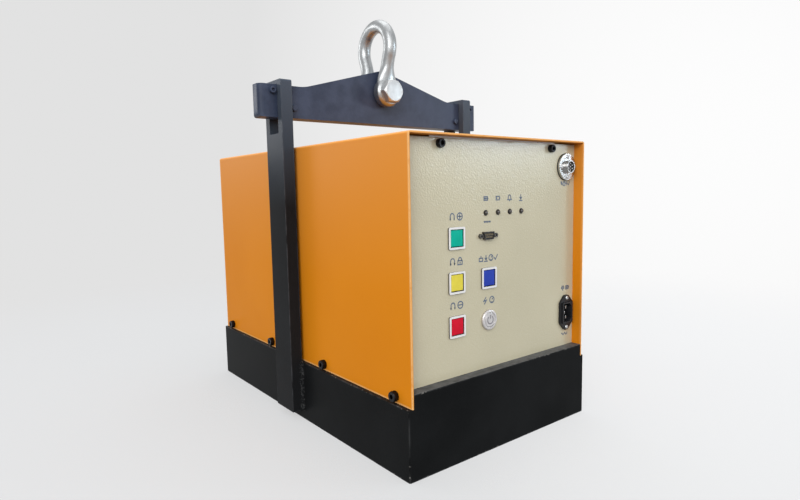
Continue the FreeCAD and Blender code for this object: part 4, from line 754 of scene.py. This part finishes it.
def bowPath(look):  # leg, neck and bow as one chain, from one eye over to the other
    out, rise, radius, steps = look["legOut"], look["bowRise"], look["bowRadius"], look["steps"]
    legTop, legSteps = look["neckRise"], look["legSteps"]
    drop = rise - legTop
    neck = (out * out + drop * drop - radius * radius) / (2 * (radius - out))
    lean = math.atan2(drop, out + neck)
    half = [Vector((0, out, pinLevel + legTop * step / legSteps)) for step in range(legSteps // 2, legSteps)]
    for step in range(steps):
        turn = math.pi - lean * step / steps
        spot = (0, out + neck + neck * math.cos(turn), pinLevel + legTop + neck * math.sin(turn))
        half.append(Vector(spot))
    for step in range(steps + 1):
        turn = -lean + (math.pi / 2 + lean) * step / steps
        half.append(Vector((0, radius * math.cos(turn), pinLevel + rise + radius * math.sin(turn))))
    return half + [Vector((0, -point.y, point.z)) for point in reversed(half[:-1])]


def bowRadii(look, path):  # the legs widen into the eyes
    radii = []
    for point in path:
        flare = (look["flareTop"] - point.z + pinLevel) / look["flareRun"]
        flare = max(0.0, min(1.0, flare))
        flare = flare * flare * (3 - 2 * flare)
        radii.append((look["stock"] + flare * look["flareWide"], look["stock"] - flare * look["flareThin"]))
    return radii


def eyeRing(work, look, side):
    inner, outer = (look["legOut"] + way * look["eyeThick"] / 2 for way in (-1, 1))
    radius, rim, bore, sides = look["eyeRadius"], look["eyeEase"], look["bore"], look["eyeSides"]
    outline = [(bore, inner), (radius - rim, inner), (radius, inner + rim), (radius, outer - rim),
               (radius - rim, outer), (bore, outer)]
    loops = []
    for reach, depth in outline:
        loop = []
        for step in range(sides):
            angle = full * step / sides
            spot = (reach * math.cos(angle), side * depth, pinLevel + reach * math.sin(angle))
            loop.append(work.verts.new(spot))
        loops.append(loop)
    skin(work, loops + loops[:1])


def shackleBow(look):
    work = bmesh.new()
    path = bowPath(look)
    tube(work, path, bowRadii(look, path), look["sides"])
    for side in (-1, 1):
        eyeRing(work, look, side)
    bmesh.ops.recalc_face_normals(work, faces=work.faces)
    thing = newObject("forgedBow", meshFrom("forgedBow", work))
    remesh = thing.modifiers.new("forged", "REMESH")
    remesh.mode = "VOXEL"
    remesh.voxel_size = look["voxel"]
    soften = thing.modifiers.new("soften", "SMOOTH")
    soften.factor = look["softness"]
    soften.iterations = look["softenings"]
    flatten(thing)
    smooth(thing.data, look["smoothing"])
    attach(thing, galvanised, "shackle_bow")


threadLook = {"shank": 10.0 * mm, "pitch": 2.5 * mm, "ridge": 1.1 * mm, "sunk": 0.75, "turnSteps": 64,
              "sides": 6}


def threadTree(look):  # a helical ridge
    tree, entry = newTree("boltThread", {
        "Radius": "Float", "Turns": "Float", "Height": "Float", "Ridge": "Float", "Middle": "Vector",
        "Finish": "Material"})
    helix = entry.node("GeometryNodeCurveSpiral", None, {
        "Resolution": look["turnSteps"], "Rotations": entry.other("Turns"), "Height": entry.other("Height"),
        "Start Radius": entry.other("Radius"), "End Radius": entry.other("Radius")})
    ridge = entry.node("GeometryNodeCurvePrimitiveCircle", None, {
        "Resolution": look["sides"], "Radius": entry.other("Ridge")})
    thread = entry.node("GeometryNodeCurveToMesh", None, {
        "Curve": helix, "Profile Curve": ridge, "Fill Caps": True})
    placed = entry.node("GeometryNodeTransform", None, {
        "Geometry": thread, "Translation": entry.other("Middle"), "Rotation": awayFromUser})
    closeTree(entry, placed)
    return tree


def boltThread(look):
    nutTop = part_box("shackle_nut")[1].y
    height = boltHigh.y - nutTop - look["ridge"]
    mesh = grow(threadTree(look), Radius=look["shank"] - look["ridge"] * look["sunk"],
                Turns=height / look["pitch"], Height=height, Ridge=look["ridge"],
                Middle=(0, nutTop, pinLevel), Finish=brightBolt)
    attach(gather("boltThread", [mesh]), brightBolt, body="shackle", slot="galvanised")


cotterLook = {"wire": 0.95 * mm, "loop": 4.0 * mm, "spread": 5.0 * mm, "head": 2.0 * mm, "tip": 3.0 * mm,
              "bend": 7.0 * mm, "neck": 5.0 * mm, "loopFrom": -120, "loopTurn": 300, "loopSteps": 12,
              "wireSteps": 4, "smoothing": 60.0}


def cotterPin(look):  # a split pin: one wire bent double round a loop, its ends turned apart
    low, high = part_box("shackle_cotter")
    row = (low.y + high.y) / 2
    loopLevel = high.z - look["loop"] - look["head"]
    leg = [(look["spread"], low.z + look["tip"]), (look["wire"], low.z + look["bend"]),
           (look["wire"], loopLevel - look["neck"])]
    points = [(-reach, level) for reach, level in leg]
    for step in range(look["loopSteps"] + 1):
        angle = math.radians(look["loopFrom"]) - math.radians(look["loopTurn"]) * step / look["loopSteps"]
        points.append((look["loop"] * math.cos(angle), loopLevel + look["loop"] * math.sin(angle)))
    points += reversed(leg)
    wire = bpy.data.curves.new("cotterWire", "CURVE")
    wire.dimensions = "3D"
    wire.bevel_depth = look["wire"]
    wire.bevel_resolution = look["wireSteps"]
    wire.use_fill_caps = True
    spline = wire.splines.new("POLY")
    spline.points.add(len(points) - 1)
    for place, (across, level) in zip(spline.points, points):
        place.co = (across, row, level, 1.0)
    source = newObject("cotterWire", wire)
    mesh = evaluated(source)
    bpy.data.objects.remove(source)
    thing = newObject("cotterPin", mesh)
    smooth(thing.data, look["smoothing"])
    attach(thing, zincPlate, "shackle_cotter")


shackleBow(shackleLook)
dressNode("shackle_bolt", brightBolt, 0.5 * mm, 3)
dressNode("shackle_nut", brightBolt, 0.5 * mm, 3)
boltThread(threadLook)
cotterPin(cotterLook)
print("shackle forged")

# Panel devices
dressNode("button_housings", bezelPlastic, 0.5 * mm, 3)
dressNode("power_housing", satinNickel, 0.25 * mm)
dressNode("power_button", satinNickel, 0.5 * mm, 3)
dressNode("led_holders", blackPlastic, 0.2 * mm)
dressNode("led_lenses", smokedLens, 0.1 * mm)
dressNode("serial_shell", darkTin, 0.2 * mm)
dressNode("serial_insert", blackPlastic, 0.2 * mm)
dressNode("serial_jackscrews", darkTin, 0.25 * mm)
dressNode("remote_gasket", gasketRubber, 0.2 * mm)
dressNode("remote_shell", nickel, 0.4 * mm, 3)
dressNode("remote_insert", blackPlastic, 0.2 * mm)
dressNode("remote_pins", satinNickel, 0.4 * mm)
dressNode("inlet_body", blackPlastic, 0.5 * mm, 3)
dressNode("inlet_blades", nickel, 0.4 * mm)

capColours = {
    "green_button": ((0.003, 0.43, 0.30), (0.002, 0.38, 0.26)),
    "yellow_button": ((0.79, 0.66, 0.085), (0.73, 0.60, 0.07)),
    "red_button": ((0.66, 0.010, 0.032), (0.58, 0.008, 0.026)),
    "blue_button": ((0.030, 0.062, 0.40), (0.025, 0.052, 0.345)),
}
capLook = {"crown": 0.22 * mm, "edge": 0.7 * mm, "edgeSteps": 3, "grid": 14, "skirt": 6.0 * mm,
           "stem": 4.0 * mm, "stemSides": 32, "roughness": 0.4, "gloss": 0.1}


def buttonCap(node, look):  # a square cap with a slightly crowned face, on a round stem
    low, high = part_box(node)
    middle = (low + high) / 2
    half = (high.x - low.x) / 2
    back = low.y + look["skirt"]
    colour, shade = capColours[node]
    material = moulded(node + "Cap", {"colour": colour, "shade": shade, "roughness": look["roughness"],
                                      "gloss": look["gloss"]})
    work = bmesh.new()
    bmesh.ops.create_grid(work, x_segments=look["grid"], y_segments=look["grid"], size=half)
    for vert in work.verts:
        across, up = vert.co.x / half, vert.co.y / half
        crown = look["crown"] * (1 - across * across) * (1 - up * up)
        vert.co = Vector((middle.x + vert.co.x, low.y + look["crown"] - crown, middle.z + vert.co.y))
    rim = [edge for edge in work.edges if edge.is_boundary]
    walls = bmesh.ops.extrude_edge_only(work, edges=rim)["geom"]
    for vert in (item for item in walls if isinstance(item, bmesh.types.BMVert)):
        vert.co.y = back
    bmesh.ops.holes_fill(work, edges=[edge for edge in work.edges if edge.is_boundary])
    bmesh.ops.recalc_face_normals(work, faces=work.faces)
    stem = bmesh.ops.create_cone(work, cap_ends=True, segments=look["stemSides"], radius1=look["stem"],
                                 radius2=look["stem"], depth=high.y - back)
    place = Matrix.Translation((middle.x, (high.y + back) / 2, middle.z))
    turn = Matrix.Rotation(math.pi / 2, 4, "X")
    bmesh.ops.transform(work, matrix=place @ turn, verts=stem["verts"])
    thing = newObject(node + "Face", meshFrom(node + "Face", work))
    ease(thing, look["edge"], look["edgeSteps"])
    attach(thing, material, node)


for capNode in capColours:
    buttonCap(capNode, capLook)

# Contacts of the serial port
contactLook = {"bore": 0.55 * mm, "wall": 0.35 * mm, "length": 0.5 * mm, "hollow": 0.4 * mm,
               "proud": 0.05 * mm, "sides": 20, "pitch": 2.77 * mm, "rows": 2.84 * mm}


def serialContacts(look):
    low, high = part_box("serial_shell")
    middle = (low + high) / 2
    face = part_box("serial_insert")[0].y - look["proud"]
    bore, sleeve = look["bore"], look["bore"] + look["wall"]
    rings = [(sleeve, -look["length"]), (sleeve, 0.0), (bore, 0.0), (bore, -look["hollow"])]
    work = bmesh.new()
    lathe(work, rings, look["sides"])
    piece = newObject("contactSleeve", meshFrom("contactSleeve", work))
    rows = []
    for count, level in ((5, look["rows"] / 2), (4, -look["rows"] / 2)):
        reach = look["pitch"] * (count - 1) / 2
        ends = [(middle.x + way * reach, face, middle.z + level) for way in (-1, 1)]
        rows.append((*ends, count, towardsUser))
    contacts = gather("serialContacts", growRows(piece, contactGold, rows))
    attach(contacts, contactGold, body="base", slot="gold_plate")


serialContacts(contactLook)
print("panel devices dressed")

# Printed signs on the panel. A shape is a list of strokes, in millimetres about the shape's middle
printLook = {"stroke": 1.4, "proud": 0.05 * mm, "lightHalf": 4.0 * mm, "lightRise": 16.0 * mm,
             "lightSize": 0.95}
symbolLook = {"stroke": 1.35, "proud": 0.04 * mm}
smallStroke = 1.15  # a small sign's strokes are thinner: by its size times this, up to 1
sharpestMitre = 0.35  # keeps sharp corners of a stroke short


def arc(x, z, radius, start=0, stop=360, steps=20):
    angles = [math.radians(start + (stop - start) * step / steps) for step in range(steps + 1)]
    return [(x + radius * math.cos(angle), z + radius * math.sin(angle)) for angle in angles]


def oblong(left, bottom, right, top):
    return [(left, bottom), (right, bottom), (right, top), (left, top), (left, bottom)]


def cell(level):  # a battery with so many bars
    bars = [[(1.5 * bar - 2.1, -1), (1.5 * bar - 2.1, 1)] for bar in range(level)]
    return [oblong(-3.4, -2.2, 2.8, 2.2), [(3.7, -0.9), (3.7, 0.9)]] + bars


horseshoe = [[(-3, -4)] + arc(0, 0.6, 3, 180, 0, 12) + [(3, -4)],
             [(-4, -2.4), (-2, -2.4)], [(2, -2.4), (4, -2.4)]]
minus = [[(-3, 0), (3, 0)], arc(0, 0, 4)]
plus = minus + [[(0, -3), (0, 3)]]
padlock = [oblong(-3.4, -4, 3.4, 0.4), [(0, -1), (0, -2.8)],
           [(-2.2, 0.4)] + arc(0, 1.8, 2.2, 180, 0, 10) + [(2.2, 0.4)]]
downArrow = [[(0, 4), (0, -2)], [(-2.4, 0.6), (0, -2.2), (2.4, 0.6)], [(-3.4, -4), (3.4, -4)]]
plate = [oblong(-3.2, -3.4, 3.2, 0.6), [(0, 0.6), (0, 3.6)]]
tick = [[(-3.2, 0), (-0.8, -3), (3.4, 3.4)]]
flash = [[(1.6, 4.2), (-2.4, -0.4), (2.2, 0.4), (-1.6, -4.2)]]
lever = [arc(0, 0, 3.8), [(0, 0), (2, 2)], [(0, -1.6), (0, -3.8)]]
bell = [[(-3.6, -2.4), (-2.4, -1)] + arc(0, 1, 2.4, 180, 0, 10) + [(2.4, -1), (3.6, -2.4), (-3.6, -2.4)],
        [(-0.9, -3.8), (0.9, -3.8)], [(0, 3.4), (0, 4.3)]]
signal = [arc(-2.6, -2, radius, -20, 100, 8) for radius in (1.6, 3.4, 5.2)]
handset = [oblong(-2.2, -4, 2.2, 3), [(0, 3), (0, 4.4)], [(-0.8, 1.2), (0.8, 1.2)], [(-0.8, -1), (0.8, -1)]]
plug = [oblong(-2.8, -1, 2.8, 1.2), [(-1.4, 1.2), (-1.4, 3.8)], [(1.4, 1.2), (1.4, 3.8)], [(0, -1), (0, -4)]]
ripple = [[(0.5 * step - 3.5, 1.8 * math.sin(full * step / 14)) for step in range(15)]]
barMark = [[(0, -2), (0, 2)]]
portMark = [arc(0, 0, 1.1, steps=12), [(-2.2, 1.6), (-2.2, -1.6)], [(2.2, 1.6), (2.2, -1.6)]]
powerSign = [arc(0, 0, 4.7, 125, 415, 28), [(0, 1.4), (0, 6.0)]]
lightSigns = (cell(3), cell(1), bell, downArrow)
# Signs: a node, the rise above its middle in mm, a size, and shapes with their shifts to the right
signs = (
    ("green_button", 24.3, 1.0, ((horseshoe, -5.8), (plus, 5.8))),
    ("yellow_button", 24.3, 1.0, ((horseshoe, -5.8), (padlock, 5.8))),
    ("red_button", 24.3, 1.0, ((horseshoe, -5.8), (minus, 5.8))),
    ("blue_button", 23.8, 0.92, ((plate, -13.8), (downArrow, -4.6), (lever, 4.6), (tick, 13.8))),
    ("power_button", 23.5, 1.0, ((flash, -5.8), (lever, 5.8))),
    ("serial_shell", 16.2, 0.62, ((portMark, -6.5), (portMark, 0), (portMark, 6.5))),
    ("remote_shell", -21.5, 0.72, ((signal, -10), (handset, -2.5), (flash, 4), (tick, 11))),
    ("inlet_body", 33.5, 0.95, ((plug, -5.2), (cell(3), 5.2))),
    ("inlet_body", -30.0, 0.8, ((ripple, -5), (ripple, 2), (barMark, 7))),
)


def ribbon(work, points, half, level, middle):  # a flat stroke with mitred joints
    closed = points[0] == points[-1]
    line = [Vector(point) for point in (points[:-1] if closed else points)]
    sides = []
    for index, point in enumerate(line):
        before = line[index - 1] if index or closed else None
        after = line[(index + 1) % len(line)] if index + 1 < len(line) or closed else None
        legs = ((before, point), (point, after))
        ways = [(b - a).normalized() for a, b in legs if a is not None and b is not None]
        normals = [Vector((-way.y, way.x)) for way in ways]
        mitre = sum(normals, Vector((0, 0))).normalized()
        reach = half / max(sharpestMitre, mitre.dot(normals[0]))
        sides.append([work.verts.new((middle[0] + spot.x * mm, level, middle[1] + spot.y * mm))
                      for spot in (point + mitre * reach, point - mitre * reach)])
    pairs = zip(sides, sides[1:] + sides[:1]) if closed else zip(sides, sides[1:])
    for (left, right), (nextLeft, nextRight) in pairs:
        work.faces.new((left, right, nextRight, nextLeft))


def strokesObject(name, groups, face, look):  # groups of (middle, size, shapes), standing just off a face
    work = bmesh.new()
    for middle, size, shapes in groups:
        half = look["stroke"] / 2 * min(1.0, size * smallStroke)
        for shape, shift in shapes:
            for points in shape:
                sized = [((x + shift) * size, z * size) for x, z in points]
                ribbon(work, sized, half, face - look["proud"], middle)
    bmesh.ops.recalc_face_normals(work, faces=work.faces)
    for polygon in work.faces:
        if polygon.normal.y > 0:
            polygon.normal_flip()
    solid = bmesh.ops.extrude_face_region(work, geom=list(work.faces))["geom"]
    for vert in (item for item in solid if isinstance(item, bmesh.types.BMVert)):
        vert.co.y = face
    bmesh.ops.recalc_face_normals(work, faces=work.faces)
    return newObject(name, meshFrom(name, work))


def middleOf(node):
    low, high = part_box(node)
    return (low + high) / 2


def panelSigns(look):
    groups = []
    for node, rise, size, shapes in signs:
        middle = middleOf(node)
        groups.append(((middle.x, middle.z + rise * mm), size, shapes))
    low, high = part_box("led_holders")
    first, last = low.x + look["lightHalf"], high.x - look["lightHalf"]
    level = low.z + look["lightHalf"] + look["lightRise"]
    for step, shape in enumerate(lightSigns):
        place = first + (last - first) * step / (len(lightSigns) - 1)
        groups.append(((place, level), look["lightSize"], ((shape, 0),)))
    thing = strokesObject("panelSigns", groups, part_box("front_panel")[0].y, look)
    attach(thing, printInk, body="base", slot="panel_paint")


def powerSymbol(look):
    middle, face = middleOf("power_button"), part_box("power_button")[0].y
    groups = [((middle.x, middle.z), 1.0, ((powerSign, 0),))]
    thing = strokesObject("powerSymbol", groups, face, look)
    attach(thing, symbolInk, body="power_button", slot="nickel")


panelSigns(printLook)
powerSymbol(symbolLook)
print("signs printed")

# Pieces inside and underneath keep their CAD shapes
keepNodes(castResin, "pole_resin")
keepNodes(magnetAlloy, "alnico_cores")
keepNodes(copperWire, "coil_windings")
keepNodes(nickel, "neodymium_blocks", "power_nut")
keepNodes(blackOxide, "pole_screws")
keepNodes(zincPlate, "panel_angles", "battery_tray", "battery_strap", "board_standoffs")
keepNodes(blackPlastic, "coil_bobbins", "button_collars", "switch_blocks")
keepNodes(blackPlastic, "thyristor_modules", "charger_module")
keepNodes(batteryPlastic, "battery_packs")
keepNodes(boardMask, "controller_board")

# Camera at the photograph's angle
cameraLook = {"place": (-0.5117, -0.7006, 0.3098), "azimuth": 38.06, "below": 5.98, "roll": 1.06,
              "focal": 566.0, "across": 800.0, "sensor": 36.0, "nearest": 0.01}


def addCamera(look):
    turn, tilt = math.radians(look["azimuth"]), math.radians(look["below"])
    level = math.cos(tilt)
    ahead = Vector((math.sin(turn) * level, math.cos(turn) * level, -math.sin(tilt)))
    camera = newObject("camera", bpy.data.cameras.new("camera"))
    camera.data.sensor_width = look["sensor"]
    camera.data.lens = look["focal"] / look["across"] * look["sensor"]
    camera.data.clip_start = look["nearest"]
    camera.location = look["place"]
    camera.rotation_mode = "QUATERNION"
    roll = Quaternion(ahead, math.radians(look["roll"]))
    camera.rotation_quaternion = roll @ ahead.to_track_quat("-Z", "Y")
    scene.camera = camera
    return ahead


viewWay = addCamera(cameraLook)

# Floor that fades into a pale background, and soft light
stageLook = {"floor": (0.60, 0.60, 0.60), "floorBounce": (0.14, 0.14, 0.14), "size": 8.0, "solid": 0.3,
             "fade": (0.45, 1.6), "dark": 0.76, "light": 0.98, "glowLean": (0.45, -0.35, 0.22),
             "glowBand": (0.72, 1.0), "above": 0.9, "below": 0.06, "horizon": (-0.12, 0.2),
             "roomTint": (0.93, 0.98, 1.05), "plainTint": (1.0, 1.0, 1.0)}
lampAim = Vector((0, 0, 0.25))
lamps = {
    "keyLamp": {"place": (-2.15, -1.85, 1.6), "size": 2.0, "power": 50.0},
    "topLamp": {"place": (0.3, 0.2, 2.6), "size": 2.4, "power": 22.0},
    "panelLamp": {"place": (2.06, -2.01, 0.78), "size": 0.5, "power": 13.0, "colour": (0.76, 0.90, 1.0)},
    "frontLamp": {"place": (-0.5, -2.8, 1.5), "size": 1.6, "power": 11.0},
    "sideLamp": {"place": (-1.44, 2.42, 0.98), "size": 1.0, "power": 12.5},
}


def shownRays(start):  # rays that show the background: straight, mirrored or through glass
    path = start.node("ShaderNodeLightPath", output="Is Camera Ray")
    return (path + path.other("Is Glossy Ray") + path.other("Is Transmission Ray")).clamped()


def addFloor(look):
    work = bmesh.new()
    bmesh.ops.create_grid(work, x_segments=1, y_segments=1, size=look["size"])
    floor = newObject("floor", meshFrom("floor", work))
    material, start = newLook("floorPaint")
    across, back = axes(start)[:2]
    fade = between(start.math("SQRT", across * across + back * back), *look["fade"])
    fade = 1 - look["solid"] * (1 - fade * fade * (3 - 2 * fade))
    shown = shownRays(start)
    colour = blend(start, shown, look["floorBounce"], look["floor"])
    plain = start.node("ShaderNodeBsdfDiffuse", None, {"Color": colour})
    clear = start.node("ShaderNodeBsdfTransparent")
    mixed = start.node("ShaderNodeMixShader", None, {0: fade * shown, 1: plain, 2: clear})
    start.node("ShaderNodeOutputMaterial", None, {"Surface": mixed})
    floor.data.materials.append(material)


def addWorld(look):
    world = bpy.data.worlds.new("studio")
    scene.world = world
    world.use_nodes = True
    world.node_tree.nodes.clear()
    start = Wire(world.node_tree)
    glow = (viewWay + Vector(look["glowLean"])).normalized()
    way = start.node("ShaderNodeTexCoord", output="Generated")
    facing = start.node("ShaderNodeVectorMath", {"operation": "DOT_PRODUCT"}, {0: way, 1: glow},
                        output="Value")
    tone = look["dark"] + between(facing, *look["glowBand"]) * (look["light"] - look["dark"])
    up = start.node("ShaderNodeSeparateXYZ", None, {0: way}, output="Z")
    room = look["below"] + between(up, *look["horizon"]) * (look["above"] - look["below"])
    shown = shownRays(start)
    strength = room + shown * (tone - room)
    colour = blend(start, shown, look["roomTint"], look["plainTint"])
    sky = start.node("ShaderNodeBackground", None, {"Color": colour, "Strength": strength})
    start.node("ShaderNodeOutputWorld", None, {"Surface": sky})


def addLamp(name, look):
    lamp = bpy.data.lights.new(name, "AREA")
    lamp.shape = "DISK"
    lamp.size = look["size"]
    lamp.energy = look["power"]
    lamp.color = look.get("colour", stageLook["plainTint"])
    thing = newObject(name, lamp)
    thing.location = look["place"]
    thing.rotation_mode = "QUATERNION"
    thing.rotation_quaternion = (lampAim - thing.location).to_track_quat("-Z", "Y")


addFloor(stageLook)
addWorld(stageLook)
for lampName, lampLook in lamps.items():
    addLamp(lampName, lampLook)

print("scene ready")
